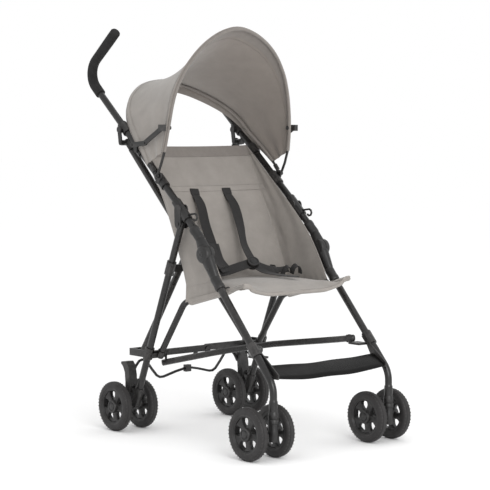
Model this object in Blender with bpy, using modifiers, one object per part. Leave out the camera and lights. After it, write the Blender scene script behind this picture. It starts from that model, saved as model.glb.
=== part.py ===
"""Lightweight umbrella pushchair with a sling seat and a two-bow sun canopy.

Metres, +Z up. The pushchair faces -Y, so the child's right hand is on the -X side.
The origin lies on the floor under the middle of the whole pushchair.
"""
import math

import bmesh
import bpy
from mathutils import Matrix, Vector

# Overall layout, seen from the side: y runs to the back, z runs up
CENTRE_Y = 0.0679          # middle of the length, taken off every y below
SIDE_X = 0.188             # middle plane of each side frame
FIT = 0.0003               # gap between pieces that touch
PIN_FIT = 0.0004           # gap round a pin that turns

# Radii of the tubes
PUSH_R = 0.0088
FRONT_LEG_R = 0.0088
REAR_LEG_R = 0.0086
RAIL_R = 0.0080
BRACE_R = 0.0090
FLOOR_R = 0.0080
BRAKE_ROD_R = 0.0036
BOW_R = 0.0034

# Push tube and handle, as (y, z)
KNEE_TOP = (-0.013, 0.509)
PUSH_BEND = (0.083, 0.597)
GRIP_LOW = (0.398, 0.863)
GRIP_CORNER = (0.4627, 0.9188)
GRIP_TOP = (0.329, 1.0225)
GRIP_R = 0.0134
GRIP_BEND_R = 0.0455
GRIP_END = 0.010           # foam beyond the end of the tube
KNEE_R = 0.0165
KNEE_HALF_W = 0.0150
KNEE_DISC_R = 0.0240
MOUTH_R = 0.0128           # collars of the knee round the tubes

# Front leg
KNEE_LOW = (-0.074, 0.411)
LEG_BEND = (-0.287, 0.177)
LEG_BEND_R = 0.060
LEG_END_Z = 0.0995
SOCKET_TOP_Z = 0.141
SOCKET_R = 0.0106

# Rear leg
LEG_PIVOT = (0.0585, 0.540)
REAR_LEG_END = (0.2465, 0.080)
LEG_TOP_SPARE = 0.0072     # tube above the pivot
LEG_PIN_R = 0.0042
SLEEVE_R = 0.0124          # moulded sleeves on the tubes
SLEEVE_Z = 0.428           # height of the middle sleeve on the rear leg
BRACKET_Z = 0.205          # height of the lower bracket on the rear leg
HOOK_R = 0.0085
HOOK_WIRE_R = 0.0028

# Wheels
WHEEL_R = 0.0635
TYRE_HALF_W = 0.0120
RIM_R = 0.0395
HUB_R = 0.0160
HUB_HALF_W = 0.0130
SPOKES = 5
SPOKE_HALF_W = 0.0070
SPOKE_HALF_T = 0.0045
AXLE_R = 0.0040
SPACER_R = 0.0068
PAIR_HALF = 0.0410         # from the middle of a pair to each wheel
FRONT_TRACK_HALF = 0.1925
REAR_TRACK_HALF = 0.1890
FRONT_AXLE_Y = -0.250
REAR_AXLE_Y = 0.283
CASTER_Y = -0.287
FORK_LOW_Z = 0.0470
KINGPIN_R = 0.0040
KINGPIN_LEN = 0.016

# Rear cross-brace
BRACE_TOP = (0.291, 0.738)
BRACE_LOW = (0.236, 0.200)
BRACE_LOW_X = 0.1705
BRACE_PLANE = 0.0098       # each tube's distance from the plane of the brace
BRACE_PIN_R = 0.0035
BARREL_R = 0.0070
CHEEK_R = 0.0064           # ends of the upper bracket's cheeks, inside the tongue's swing
TONGUE_HALF_T = 0.0020
TONGUE_R = 0.0098
OPEN_TONGUE_R = 0.0124
OPEN_HOLE_R = 0.0086
BALANCE_R = 0.0082         # boss on the left turning block, opposite its wide head
BALANCE_REACH = 0.0135

# Seat rails
RAIL_X = 0.162
RAIL_FORWARD = 0.0145      # rail end in front of the rear leg
RAIL_BEND = (0.080, 0.342)
RAIL_FRONT = (-0.092, 0.386)
RAIL_BEND_R = 0.045
RAIL_CUP_R = 0.0105

# Lock bar
LOCK_X = 0.146
LOCK_HALF_H = 0.0090
LOCK_T = 0.0030
LOCK_LAP = 0.0005          # each half's distance from the plane of the rear legs
LOCK_PIN_R = 0.0030

# Floor cross: two tubes from each rear leg to the other front leg
FLOOR_X = 0.143
FLOOR_REAR = (0.187, 0.179)
FLOOR_TIP_X = 0.155
FLOOR_TIP_Y = -0.197
FLOOR_PIN_R = 0.0028
UPPER_FLOOR_Z = ((0.0, 0.1790), (0.30, 0.2110), (0.55, 0.2320), (0.715, 0.2400), (0.868, 0.2470), (1.0, 0.2540))
LOWER_FLOOR_Z = ((0.0, 0.1790), (0.25, 0.1880), (0.50, 0.2050), (0.75, 0.2290), (1.0, 0.2500))
FLOOR_LEAN = 7.0           # degrees off the leg when folded

# Brake
PEDAL_PIVOT = (0.270, 0.104)
PEDAL_OUTLINE = ((-0.0085, -0.0060), (0.0040, -0.0090), (0.0105, -0.0030), (0.0100, 0.0200), (0.0125, 0.0450),
                 (0.0200, 0.0590), (0.0290, 0.0660), (0.0270, 0.0710), (0.0080, 0.0730), (-0.0020, 0.0630),
                 (-0.0075, 0.0400), (-0.0095, 0.0100))   # side view, from its pivot
PEDAL_HALF_W = 0.0120
PEDAL_LUG_HALF_W = 0.0050
ROD_Y = 0.2800
ROD_LAP = 0.0046           # half the offset between the two brake rods
ROD_PIVOT = (0.140, 0.176)
ROD_DIP = ((0.1180, 0.1500), (0.1020, 0.1320), (0.0920, 0.1268), (0.0800, 0.1270), (0.0400, 0.1370),
           (0.0015, 0.1440))       # the rod's way down and along, as (x, z)

# Canopy
BOW_PIVOT = (0.135, 0.657)
FRONT_BOW = ((0.2050, 0.135, 0.657), (0.2046, 0.120, 0.684), (0.2032, 0.107, 0.716), (0.1990, 0.095, 0.776),
             (0.1900, 0.089, 0.840), (0.1800, 0.084, 0.876), (0.1665, 0.078, 0.908), (0.1500, 0.073, 0.934),
             (0.1300, 0.068, 0.960), (0.1000, 0.064, 0.987), (0.0560, 0.062, 1.013), (0.0, 0.061, 1.0275))
REAR_BOW = ((0.2035, 0.148, 0.668), (0.2030, 0.166, 0.688), (0.1960, 0.196, 0.722), (0.1870, 0.238, 0.758),
            (0.1790, 0.282, 0.806), (0.1560, 0.318, 0.838), (0.1210, 0.347, 0.864), (0.0700, 0.374, 0.889),
            (0.0, 0.386, 0.901))
CANOPY_MIDDLE = (0.200, 0.720)
CLOTH_COLUMNS = 21
CLOTH_T = 0.0024
CANOPY_SAG = 0.030
STAY_X = 0.2118            # inner face of the stay, just outside the cloth
STAY_T = 0.0030
STAY_CLAMP = (0.228, 0.733)
STAY_ELBOW = (0.171, 0.738)
STAY_BLOCK = (0.098, 0.776)

# Seat cloth, as (y, z): where it leaves the frame, its corner and its middle
SEAT_EDGE_X = 0.1736
SEAT_KNEE_X = 0.1705       # beside the knee, which is thicker than the tubes
SEAT_STATIONS = (
    ((0.2400, 0.7300), (0.2420, 0.7290), (0.2440, 0.7270)),
    ((0.1960, 0.6930), (0.2160, 0.6850), (0.2220, 0.6840)),
    ((0.1420, 0.6470), (0.1880, 0.6400), (0.1970, 0.6380)),
    ((0.0950, 0.6070), (0.1640, 0.6000), (0.1740, 0.5980)),
    ((0.0480, 0.5650), (0.1370, 0.5520), (0.1460, 0.5500)),
    ((0.0050, 0.5260), (0.1120, 0.5050), (0.1200, 0.5020)),
    ((-0.0250, 0.4900), (0.0940, 0.4650), (0.1000, 0.4600)),
    ((-0.0500, 0.4520), (0.0780, 0.4260), (0.0830, 0.4220)),
    ((-0.0740, 0.4110), (0.0640, 0.3820), (0.0660, 0.4040)),
)
SEAT_T = 0.0024
BASE_BACK_Y = 0.050
BASE_FRONT_Y = -0.160
BASE_MID_Z = 0.3960

# Footrest
FOOT_HALF_W = 0.1730
FOOT_FRONT = (-0.286, 0.1965)
FOOT_BACK = (-0.246, 0.2185)
FOOT_T = 0.0020
FOOT_SAG = 0.005

# Harness
STRAP_HALF_W = 0.0120
STRAP_T = 0.0016

COLOURS = {
    "frame": ((0.040, 0.038, 0.038), 0.38, 0.0),
    "plastic": ((0.030, 0.029, 0.029), 0.50, 0.0),
    "foam": ((0.028, 0.028, 0.028), 0.85, 0.0),
    "wheel": ((0.045, 0.044, 0.044), 0.62, 0.0),
    "cloth": ((0.300, 0.275, 0.250), 0.90, 0.0),
    "webbing": ((0.022, 0.022, 0.022), 0.80, 0.0),
    "steel": ((0.550, 0.550, 0.560), 0.30, 1.0),
}


def clear_scene():
    """Empty the file, so that a second run starts from nothing."""
    for thing in list(bpy.data.objects):
        bpy.data.objects.remove(thing, do_unlink=True)


def collection(name):
    """A collection in the scene, made if it is not there."""
    found = bpy.data.collections.get(name)
    if found is None:
        found = bpy.data.collections.new(name)
        bpy.context.scene.collection.children.link(found)
    return found


def at(x, side_point, z=None):
    """A point in the model frame, from x and (y, z), or from x, y and z."""
    if z is None:
        return Vector((x, side_point[0] - CENTRE_Y, side_point[1]))
    return Vector((x, side_point - CENTRE_Y, z))


def paint(thing, finish):
    """Give an object its own Principled material."""
    colour, roughness, metallic = COLOURS[finish]
    material = bpy.data.materials.new(thing.name + "_" + finish)
    material.use_nodes = True
    shader = material.node_tree.nodes["Principled BSDF"]
    shader.inputs["Base Color"].default_value = (*colour, 1.0)
    shader.inputs["Roughness"].default_value = roughness
    shader.inputs["Metallic"].default_value = metallic
    thing.data.materials.clear()
    thing.data.materials.append(material)
    return thing


def place(mesh, name):
    """A new object for a mesh, in the pushchair's collection."""
    thing = bpy.data.objects.new(name, mesh)
    collection("pushchair").objects.link(thing)
    return thing


def mesh_from(bm, name):
    """An object from a bmesh whose faces are turned outwards."""
    bmesh.ops.recalc_face_normals(bm, faces=bm.faces[:])
    mesh = bpy.data.meshes.new(name)
    bm.to_mesh(mesh)
    bm.free()
    return place(mesh, name)


def frame_along(start, end):
    """The matrix that carries +Z onto the way from start to end."""
    turn = (end - start).to_track_quat("Z", "Y").to_matrix().to_4x4()
    return Matrix.Translation(start) @ turn


def cylinder(start, end, radius, name="cylinder", sides=10):
    """A closed cylinder between two points."""
    bm = bmesh.new()
    length = (end - start).length
    bmesh.ops.create_cone(bm, cap_ends=True, segments=sides, radius1=radius, radius2=radius, depth=length)
    bmesh.ops.translate(bm, verts=bm.verts[:], vec=(0.0, 0.0, length / 2.0))
    bmesh.ops.transform(bm, matrix=frame_along(start, end), verts=bm.verts[:])
    return mesh_from(bm, name)


def box(low, high, name="box", matrix=None):
    """A box between two corners, carried by a matrix where one is given."""
    bm = bmesh.new()
    bmesh.ops.create_cube(bm, size=1.0)
    size = Vector([abs(high[i] - low[i]) for i in range(3)])
    middle = (Vector(low) + Vector(high)) / 2.0
    bmesh.ops.scale(bm, verts=bm.verts[:], vec=size)
    bmesh.ops.translate(bm, verts=bm.verts[:], vec=middle)
    if matrix is not None:
        bmesh.ops.transform(bm, matrix=matrix, verts=bm.verts[:])
    return mesh_from(bm, name)


def rounded(points, radius, steps=6):
    """Points of a path whose inner corners are arcs of the given radius."""
    path = [points[0]]
    for before, corner, after in zip(points, points[1:], points[2:]):
        back = (before - corner).normalized()
        ahead = (after - corner).normalized()
        half = back.angle(ahead) / 2.0
        reach = radius / math.tan(half)
        centre = corner + (back + ahead).normalized() * (radius / math.sin(half))
        start = (corner + back * reach - centre).normalized()
        end = (corner + ahead * reach - centre).normalized()
        for i in range(steps + 1):
            path.append(centre + start.slerp(end, i / steps) * radius)
    path.append(points[-1])
    return path


def bake(thing, name):
    """Replace an object by the closed mesh that it evaluates to."""
    bpy.context.view_layer.update()
    ready = thing.evaluated_get(bpy.context.evaluated_depsgraph_get())
    mesh = bpy.data.meshes.new_from_object(ready)
    matrix = thing.matrix_world.copy()
    bpy.data.objects.remove(thing, do_unlink=True)
    bm = bmesh.new()
    bm.from_mesh(mesh)
    bmesh.ops.remove_doubles(bm, verts=bm.verts[:], dist=0.000001)
    bmesh.ops.transform(bm, matrix=matrix, verts=bm.verts[:])
    bpy.data.meshes.remove(mesh)
    return mesh_from(bm, name)


def tube(points, radius, name="tube", resolution=2):
    """A round bar along a path, with closed ends, as a mesh."""
    curve = bpy.data.curves.new(name, "CURVE")
    curve.dimensions = "3D"
    curve.bevel_depth = radius
    curve.bevel_resolution = resolution
    curve.use_fill_caps = True
    spline = curve.splines.new("POLY")
    spline.points.add(len(points) - 1)
    for spot, point in zip(spline.points, points):
        spot.co = (*point, 1.0)
    return bake(place(curve, name), name)


def flat(outline, thickness, matrix, name="flat"):
    """A flat outline of (u, v) points, as thick as told, carried by a matrix."""
    curve = bpy.data.curves.new(name, "CURVE")
    curve.dimensions = "2D"
    curve.fill_mode = "BOTH"
    curve.extrude = thickness / 2.0
    spline = curve.splines.new("POLY")
    spline.points.add(len(outline) - 1)
    for spot, (u, v) in zip(spline.points, outline):
        spot.co = (u, v, 0.0, 1.0)
    spline.use_cyclic_u = True
    thing = place(curve, name)
    thing.matrix_world = matrix
    return bake(thing, name)


def plate(outline, x_low, x_high, name="plate"):
    """A flat side-view outline of (y, z) points, as thick as the two x values say."""
    middle = (x_low + x_high) / 2.0
    upright = Matrix(((0, 0, 1, middle), (1, 0, 0, -CENTRE_Y), (0, 1, 0, 0), (0, 0, 0, 1)))
    return flat(outline, abs(x_high - x_low), upright, name)


def turned(profile, centre, sides, name="turned"):
    """A closed profile of (across, radius) points turned about the x axis, with a flat lowest."""
    half = math.pi / sides
    bm = bmesh.new()
    spots = [bm.verts.new((across, radius * math.tan(half), radius)) for across, radius in profile]
    for a, b in zip(spots, spots[1:] + spots[:1]):
        bm.edges.new((a, b))
    mesh = bpy.data.meshes.new(name)
    bm.to_mesh(mesh)
    bm.free()
    thing = place(mesh, name)
    thing.location = centre
    screw = thing.modifiers.new("turn", "SCREW")
    screw.axis = "X"
    screw.steps = sides
    screw.render_steps = sides
    screw.use_merge_vertices = True
    screw.merge_threshold = 0.00001
    return bake(thing, name)


def oval(start, end, radius, steps=5):
    """Side-view outline of a bar with round ends between two (y, z) points."""
    way = math.atan2(end[1] - start[1], end[0] - start[0])
    outline = []
    for centre, first in ((end, way - math.pi / 2), (start, way + math.pi / 2)):
        for i in range(steps + 1):
            angle = first + math.pi * i / steps
            outline.append((centre[0] + radius * math.cos(angle),
                            centre[1] + radius * math.sin(angle)))
    return outline


def boolean(base, other, operation):
    """Apply one exact boolean and drop the other object."""
    modifier = base.modifiers.new(operation.lower(), "BOOLEAN")
    modifier.operation = operation
    modifier.solver = "EXACT"
    modifier.object = other
    name = base.name
    base.name = name + "_raw"
    done = bake(base, name)
    bpy.data.objects.remove(other, do_unlink=True)
    return done


def join(name, finish, *pieces):
    """One solid, the union of overlapping pieces."""
    base = pieces[0]
    for other in pieces[1:]:
        base = boolean(base, other, "UNION")
    base.name = name
    base.data.name = name
    return paint(base, finish)


def cut(base, *cutters):
    """Take each cutter out of a solid."""
    finish = base.data.materials[0] if base.data.materials else None
    for cutter in cutters:
        base = boolean(base, cutter, "DIFFERENCE")
    if finish is not None:
        base.data.materials.clear()
        base.data.materials.append(finish)
    return base


def finished(thing, name, finish):
    """Name and paint a piece that needs no joining."""
    thing.name = name
    thing.data.name = name
    return paint(thing, finish)


def between(start, end, share):
    """A point part of the way from one (y, z) point to another."""
    return (start[0] + (end[0] - start[0]) * share, start[1] + (end[1] - start[1]) * share)


def leg_way():
    """Unit (y, z) direction down the rear leg."""
    way = Vector((REAR_LEG_END[0] - LEG_PIVOT[0], REAR_LEG_END[1] - LEG_PIVOT[1]))
    return way.normalized()


def rear_leg_point(z, behind=0.0, down=0.0):
    """The (y, z) point of the rear leg's axis at a height, then square behind it, then down it."""
    share = (z - LEG_PIVOT[1]) / (REAR_LEG_END[1] - LEG_PIVOT[1])
    y, height = between(LEG_PIVOT, REAR_LEG_END, share)
    way = leg_way()
    return (y - way.y * behind + way.x * down, height + way.x * behind + way.y * down)


def front_leg_point(z, under=0.0):
    """The (y, z) point of the front leg's straight axis at a height, or square under it."""
    share = (z - KNEE_LOW[1]) / (LEG_BEND[1] - KNEE_LOW[1])
    y, height = between(KNEE_LOW, LEG_BEND, share)
    way = Vector((LEG_BEND[0] - KNEE_LOW[0], LEG_BEND[1] - KNEE_LOW[1])).normalized()
    return (y - way.y * under, height + way.x * under)


def push_point(y, above=0.0):
    """The (y, z) point of the push tube's axis at a depth y, or square above it."""
    low, high = (KNEE_TOP, PUSH_BEND) if y < PUSH_BEND[0] else (PUSH_BEND, GRIP_LOW)
    share = (y - low[0]) / (high[0] - low[0])
    way = Vector((high[0] - low[0], high[1] - low[1])).normalized()
    spot = between(low, high, share)
    return (spot[0] - way.y * above, spot[1] + way.x * above)


def push_path(x, start, spare=0.0):
    """The push tube's axis from a (y, z) point up to the handle's end, less a spare length."""
    end = at(x, GRIP_TOP)
    corner = at(x, GRIP_CORNER)
    end = end - (end - corner).normalized() * spare
    path = [at(x, start)]
    if start[0] < PUSH_BEND[0]:
        path.append(at(x, PUSH_BEND))
    return path + rounded([at(x, GRIP_LOW), corner, end], GRIP_BEND_R, 5)[1:]


def bore(start, end, radius, sides=12):
    """A cutter for a hole that clears a bar of the given radius by the fit."""
    return cylinder(start, end, (radius + FIT) / math.cos(math.pi / sides), sides=sides)


def extend(start, end, extra):
    """The point beyond end, on the line from start."""
    return end + (end - start).normalized() * extra


def push_tube(word, side):
    """Handle tube, from the knee to the inside of the grip."""
    path = push_path(side * SIDE_X, KNEE_TOP, GRIP_END)
    return finished(tube(path, PUSH_R, resolution=3), word + "_push_tube", "frame")


def handle_grip(word, side):
    """Foam grip over the top of the push tube, closed at its end."""
    x = side * SIDE_X
    outer = rounded([at(x, GRIP_LOW), at(x, GRIP_CORNER), at(x, GRIP_TOP)], GRIP_BEND_R, 5)
    body = finished(tube(outer, GRIP_R, resolution=3), word + "_handle_grip", "foam")
    hollow = tube(push_path(x, push_point(0.34), GRIP_END - FIT), PUSH_R + FIT * 3.0, resolution=3)
    return cut(body, hollow)


def knee(word, side):
    """Moulded knuckle that joins the push tube to the front leg."""
    x = side * SIDE_X
    middle = between(KNEE_TOP, KNEE_LOW, 0.46)
    body = plate(oval(KNEE_TOP, KNEE_LOW, KNEE_R), x - KNEE_HALF_W, x + KNEE_HALF_W)
    disc = cylinder(at(x - side * 0.0140, middle), at(x + side * 0.0165, middle), KNEE_DISC_R, sides=16)
    upper = cylinder(at(x, KNEE_TOP), at(x, push_point(KNEE_TOP[0] + 0.030)), MOUTH_R)
    lower = cylinder(at(x, KNEE_LOW), at(x, front_leg_point(KNEE_LOW[1] - 0.030)), MOUTH_R)
    bolts = []
    for share in (0.12, 0.80):
        spot = between(KNEE_TOP, KNEE_LOW, share)
        bolts.append(cylinder(at(x, spot), at(x + side * 0.0178, spot), 0.0060, sides=10))
    piece = join(word + "_knee", "plastic", body, disc, upper, lower, *bolts)
    top_end = extend(at(x, PUSH_BEND), at(x, KNEE_TOP), FIT)
    low_end = extend(at(x, LEG_BEND), at(x, KNEE_LOW), FIT)
    return cut(piece, bore(top_end, at(x, push_point(0.060)), PUSH_R),
               bore(low_end, at(x, front_leg_point(0.330)), FRONT_LEG_R))


def front_leg(word, side):
    """Front leg: straight, bent down to the caster, with a socket at its foot."""
    x = side * SIDE_X
    points = [at(x, KNEE_LOW), at(x, LEG_BEND), at(x, CASTER_Y, LEG_END_Z)]
    bar = tube(rounded(points, LEG_BEND_R, 4), FRONT_LEG_R, resolution=3)
    socket = cylinder(at(x, CASTER_Y, LEG_END_Z), at(x, CASTER_Y, SOCKET_TOP_Z), SOCKET_R)
    piece = join(word + "_front_leg", "frame", bar, socket)
    return cut(piece, cylinder(at(x, CASTER_Y, LEG_END_Z - 0.01),
                               at(x, CASTER_Y, LEG_END_Z + KINGPIN_LEN + 0.001), KINGPIN_R + PIN_FIT))


def leg_bracket(word, side):
    """Bracket on the push tube that carries the rear leg, with its storage hook."""
    x = side * SIDE_X
    sleeve = cylinder(at(x, push_point(0.032)), at(x, push_point(0.080)), SLEEVE_R)
    outline = oval(push_point(0.060), LEG_PIVOT, 0.0120)
    inner = REAR_LEG_R + 0.0006
    outer = inner + 0.0034
    cheeks = [plate(outline, x + face * inner, x + face * outer) for face in (-1, 1)]
    reach = outer + 0.0012
    pin = cylinder(at(x - reach, LEG_PIVOT), at(x + reach, LEG_PIVOT), LEG_PIN_R, sides=14)
    root = push_point(0.042, 0.004)
    centre = (root[0] - 0.034, root[1] - 0.004)
    wire = [at(x, root)]
    for i in range(6):
        angle = math.radians(90 + 47 * i)
        wire.append(at(x, (centre[0] + HOOK_R * math.cos(angle), centre[1] + HOOK_R * math.sin(angle))))
    hook = tube(wire, HOOK_WIRE_R, resolution=1)
    piece = join(word + "_leg_bracket", "plastic", sleeve, *cheeks, pin, hook)
    return cut(piece, bore(at(x, push_point(0.015)), at(x, PUSH_BEND), PUSH_R))


def rear_leg(word, side):
    """Rear leg, a straight tube that turns on the leg bracket's pin."""
    x = side * SIDE_X
    top = extend(at(x, REAR_LEG_END), at(x, LEG_PIVOT), LEG_TOP_SPARE)
    piece = finished(cylinder(top, at(x, REAR_LEG_END), REAR_LEG_R, sides=12), word + "_rear_leg", "frame")
    return cut(piece, cylinder(at(x - 0.02, LEG_PIVOT), at(x + 0.02, LEG_PIVOT), LEG_PIN_R + PIN_FIT, sides=12))


def leg_sleeve(word, side):
    """Sleeve half-way down the rear leg, with the lug that the seat is tied to."""
    x = side * SIDE_X
    body = cylinder(at(x, rear_leg_point(SLEEVE_Z - 0.016)), at(x, rear_leg_point(SLEEVE_Z + 0.016)), SLEEVE_R)
    spot = at(0.0, rear_leg_point(SLEEVE_Z))
    lug = box((x - side * 0.036, spot.y - 0.0060, SLEEVE_Z - 0.010), (x, spot.y + 0.0060, SLEEVE_Z + 0.008))
    piece = join(word + "_leg_sleeve", "plastic", body, lug)
    return cut(piece, bore(at(x, rear_leg_point(SLEEVE_Z - 0.05)), at(x, rear_leg_point(SLEEVE_Z + 0.05)),
                           REAR_LEG_R))


def leg_frame():
    """The matrix from (x, down, behind) about the rear leg at its bracket to the model frame."""
    spot = at(0.0, rear_leg_point(BRACKET_Z))
    way = leg_way()
    return Matrix(((1, 0, 0, 0), (0, way.x, -way.y, spot.y), (0, way.y, way.x, spot.z), (0, 0, 0, 1)))


def leg_slab(x_low, x_high, behind, down):
    """A box square to the rear leg, between two x, two distances behind it and two down it."""
    return box((x_low, down[0], behind[0]), (x_high, down[1], behind[1]), matrix=leg_frame())


def leg_plate(outline, layer):
    """A plate square to the rear legs, from an outline of (x, down) points."""
    lift = Matrix.Translation((0.0, 0.0, (layer[0] + layer[1]) / 2.0))
    return flat(outline, layer[1] - layer[0], leg_frame() @ lift)


def lock_layer(side):
    """How far in front of and behind the rear legs one half of the lock bar lies."""
    if side < 0:
        return (-LOCK_LAP - LOCK_T, -LOCK_LAP)
    return (LOCK_LAP, LOCK_LAP + LOCK_T)


def floor_chord(side):
    """Pivot and tip of the floor tube that is pinned on one side's rear leg."""
    levels = UPPER_FLOOR_Z if side < 0 else LOWER_FLOOR_Z
    start = at(side * FLOOR_X, FLOOR_REAR)
    tip = at(-side * FLOOR_TIP_X, FLOOR_TIP_Y, levels[-1][1])
    return start, tip


def floor_axis(side):
    """The way in which the floor tube's pin points, up from the tube's plane of swing."""
    start, tip = floor_chord(side)
    way = leg_way()
    lean = math.radians(FLOOR_LEAN)
    folded = Vector((-side * math.sin(lean), -way.x * math.cos(lean), -way.y * math.cos(lean)))
    return (tip - start).normalized().cross(folded).normalized()


def lower_bracket(word, side):
    """Bracket low on the rear leg, for the rail, the lock bar, the floor tube and the brace."""
    x = side * SIDE_X
    ends = [at(x, rear_leg_point(BRACKET_Z + up)) for up in (-0.013, 0.015)]
    sleeve = cylinder(ends[0], ends[1], SLEEVE_R)
    arm = leg_slab(side * 0.1335, x, (-0.0092, -0.0040), (-0.0100, 0.0100))
    layer = lock_layer(side)
    pivot = [at(side * LOCK_X, rear_leg_point(BRACKET_Z, b)) for b in (-0.0070, layer[1] + 0.0025)]
    head = [at(side * LOCK_X, rear_leg_point(BRACKET_Z, layer[1] + b)) for b in (0.0005, 0.0027)]
    pin = cylinder(pivot[0], pivot[1], LOCK_PIN_R)
    washer = cylinder(head[0], head[1], 0.0052)
    rail_end = at(side * RAIL_X, rear_leg_point(BRACKET_Z, -RAIL_FORWARD))
    rail_up = (at(side * RAIL_X, RAIL_BEND) - rail_end).normalized()
    cup = cylinder(rail_end - rail_up * 0.0040, rail_end + rail_up * 0.0150, RAIL_CUP_R)
    web = leg_slab(side * 0.1580, x, (-0.0150, -0.0040), (-0.0070, 0.0070))
    floor_pin_at = at(side * FLOOR_X, FLOOR_REAR)
    inward = floor_axis(side)
    if inward.x * side > 0:
        inward = -inward
    stem_end = floor_pin_at + inward * 0.0125
    floor_pin = cylinder(floor_pin_at - inward * 0.0078, stem_end, FLOOR_PIN_R)
    stem = tube([stem_end - inward * 0.0002, stem_end + Vector((0.0, 0.0, 0.004)),
                 at(side * 0.1370, rear_leg_point(BRACKET_Z, -0.0076, 0.004))], 0.0030, resolution=1)
    knob = cylinder(floor_pin_at + inward * 0.0088, floor_pin_at + inward * 0.0150, 0.0046)
    level = BRACE_LOW[1] + 0.004
    rear_face = BRACE_LOW[0] - side * BRACE_PLANE + BRACE_R + 0.0045
    reach = box((side * 0.1930, rear_leg_point(BRACKET_Z)[0] - CENTRE_Y, level - 0.009),
                (side * 0.1985, rear_face - CENTRE_Y + 0.004, level + 0.009))
    back = box((side * 0.1620, rear_face - CENTRE_Y, level - 0.009),
               (side * 0.1985, rear_face - CENTRE_Y + 0.004, level + 0.009))
    piece = join(word + "_lower_bracket", "plastic", sleeve, arm, pin, washer, web, cup,
                 floor_pin, stem, knob, reach, back)
    return cut(piece, bore(at(x, rear_leg_point(BRACKET_Z - 0.05)), at(x, rear_leg_point(BRACKET_Z + 0.05)),
                           REAR_LEG_R),
               bore(rail_end - rail_up * FIT, rail_end + rail_up * 0.05, RAIL_R))


def seat_rail(word, side):
    """Rail along one edge of the seat, from the lower bracket up and forward."""
    x = side * RAIL_X
    start = at(x, rear_leg_point(BRACKET_Z, -RAIL_FORWARD))
    path = rounded([start, at(x, RAIL_BEND), at(x, RAIL_FRONT)], RAIL_BEND_R, 6)
    return finished(tube(path, RAIL_R), word + "_seat_rail", "frame")


def lock_bar(word, side):
    """One half of the folding lock bar between the rear legs."""
    layer = lock_layer(side)
    half = LOCK_HALF_H
    outline = []
    for i in range(7):
        angle = math.radians(90 + 30 * i)
        outline.append((side * LOCK_X - side * half * math.cos(angle), half * math.sin(angle)))
    if side < 0:
        tab = half + 0.0075
        outline += [(0.013, -half), (0.013, half), (0.010, half), (0.009, tab), (-0.001, tab), (-0.002, half),
                    (-0.028, half), (-0.029, tab), (-0.040, tab), (-0.041, half)]
    else:
        outline += [(-0.007, -half), (-0.007, half)]
    bar = leg_plate(outline, layer)
    pieces = [bar]
    if side < 0:
        rivet = [at(0.0, rear_leg_point(BRACKET_Z, b)) for b in (layer[0] - 0.0022, layer[1] - 0.0010)]
        pieces.append(cylinder(rivet[0], rivet[1], 0.0062, sides=12))
    piece = join(word + "_lock_bar", "plastic", *pieces)
    hole = [at(side * LOCK_X, rear_leg_point(BRACKET_Z, b)) for b in (-0.02, 0.02)]
    return cut(piece, cylinder(hole[0], hole[1], LOCK_PIN_R + PIN_FIT, sides=12))


def floor_tube(word, side):
    """Bowed tube from one rear leg across to the other front leg."""
    levels = UPPER_FLOOR_Z if side < 0 else LOWER_FLOOR_Z
    start, tip = floor_chord(side)
    points = []
    for i in range(13):
        share = i / 12.0
        for (low, low_z), (high, high_z) in zip(levels, levels[1:]):
            if low <= share <= high + 0.000001:
                z = low_z + (high_z - low_z) * (share - low) / (high - low)
        spot = start.lerp(tip, share)
        points.append(Vector((spot.x, spot.y, z)))
    points[0] = extend(points[1], points[0], 0.0065)
    piece = tube(points, FLOOR_R)
    pin = floor_axis(side)
    pieces = [piece]
    if side > 0:
        way = (points[-1] - points[-2]).normalized()
        pieces.append(cylinder(points[-1] - way * 0.012, points[-1] + way * 0.002, FLOOR_R + 0.0016))
    piece = join(word + "_floor_tube", "frame", *pieces)
    cutters = [cylinder(start - pin * 0.03, start + pin * 0.03, FLOOR_PIN_R + PIN_FIT, sides=12)]
    if side > 0:
        cutters.append(cylinder(points[-1] - way * 0.004, points[-1] + way * 0.01, 0.0024, sides=10))
    return cut(piece, *cutters)


def rear_foot(word, side):
    """Foot of the rear leg: its socket, the axle and the lug of the brake pedal."""
    x = side * SIDE_X
    middle = side * REAR_TRACK_HALF
    axle = (REAR_AXLE_Y, WHEEL_R)
    top = rear_leg_point(0.112)
    low = rear_leg_point(0.070)
    sleeve = cylinder(at(x, low), at(x, top), 0.0116)
    web = plate(oval(low, axle, 0.0105), x - 0.0085, x + 0.0085)
    bar = cylinder(at(middle - PAIR_HALF - 0.0090, axle), at(middle + PAIR_HALF + 0.0090, axle), AXLE_R)
    reach = PAIR_HALF - HUB_HALF_W - 0.0006
    spacer = cylinder(at(middle - reach, axle), at(middle + reach, axle), SPACER_R)
    lug = plate(oval(low, PEDAL_PIVOT, 0.0090), x - PEDAL_LUG_HALF_W, x + PEDAL_LUG_HALF_W)
    half = PEDAL_HALF_W + 0.0012
    pin = cylinder(at(x - half, PEDAL_PIVOT), at(x + half, PEDAL_PIVOT), 0.0034)
    piece = join(word + "_rear_foot", "plastic", sleeve, web, spacer, bar, lug, pin)
    end = extend(at(x, LEG_PIVOT), at(x, REAR_LEG_END), FIT)
    return cut(piece, bore(at(x, rear_leg_point(0.15)), end, REAR_LEG_R))


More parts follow.
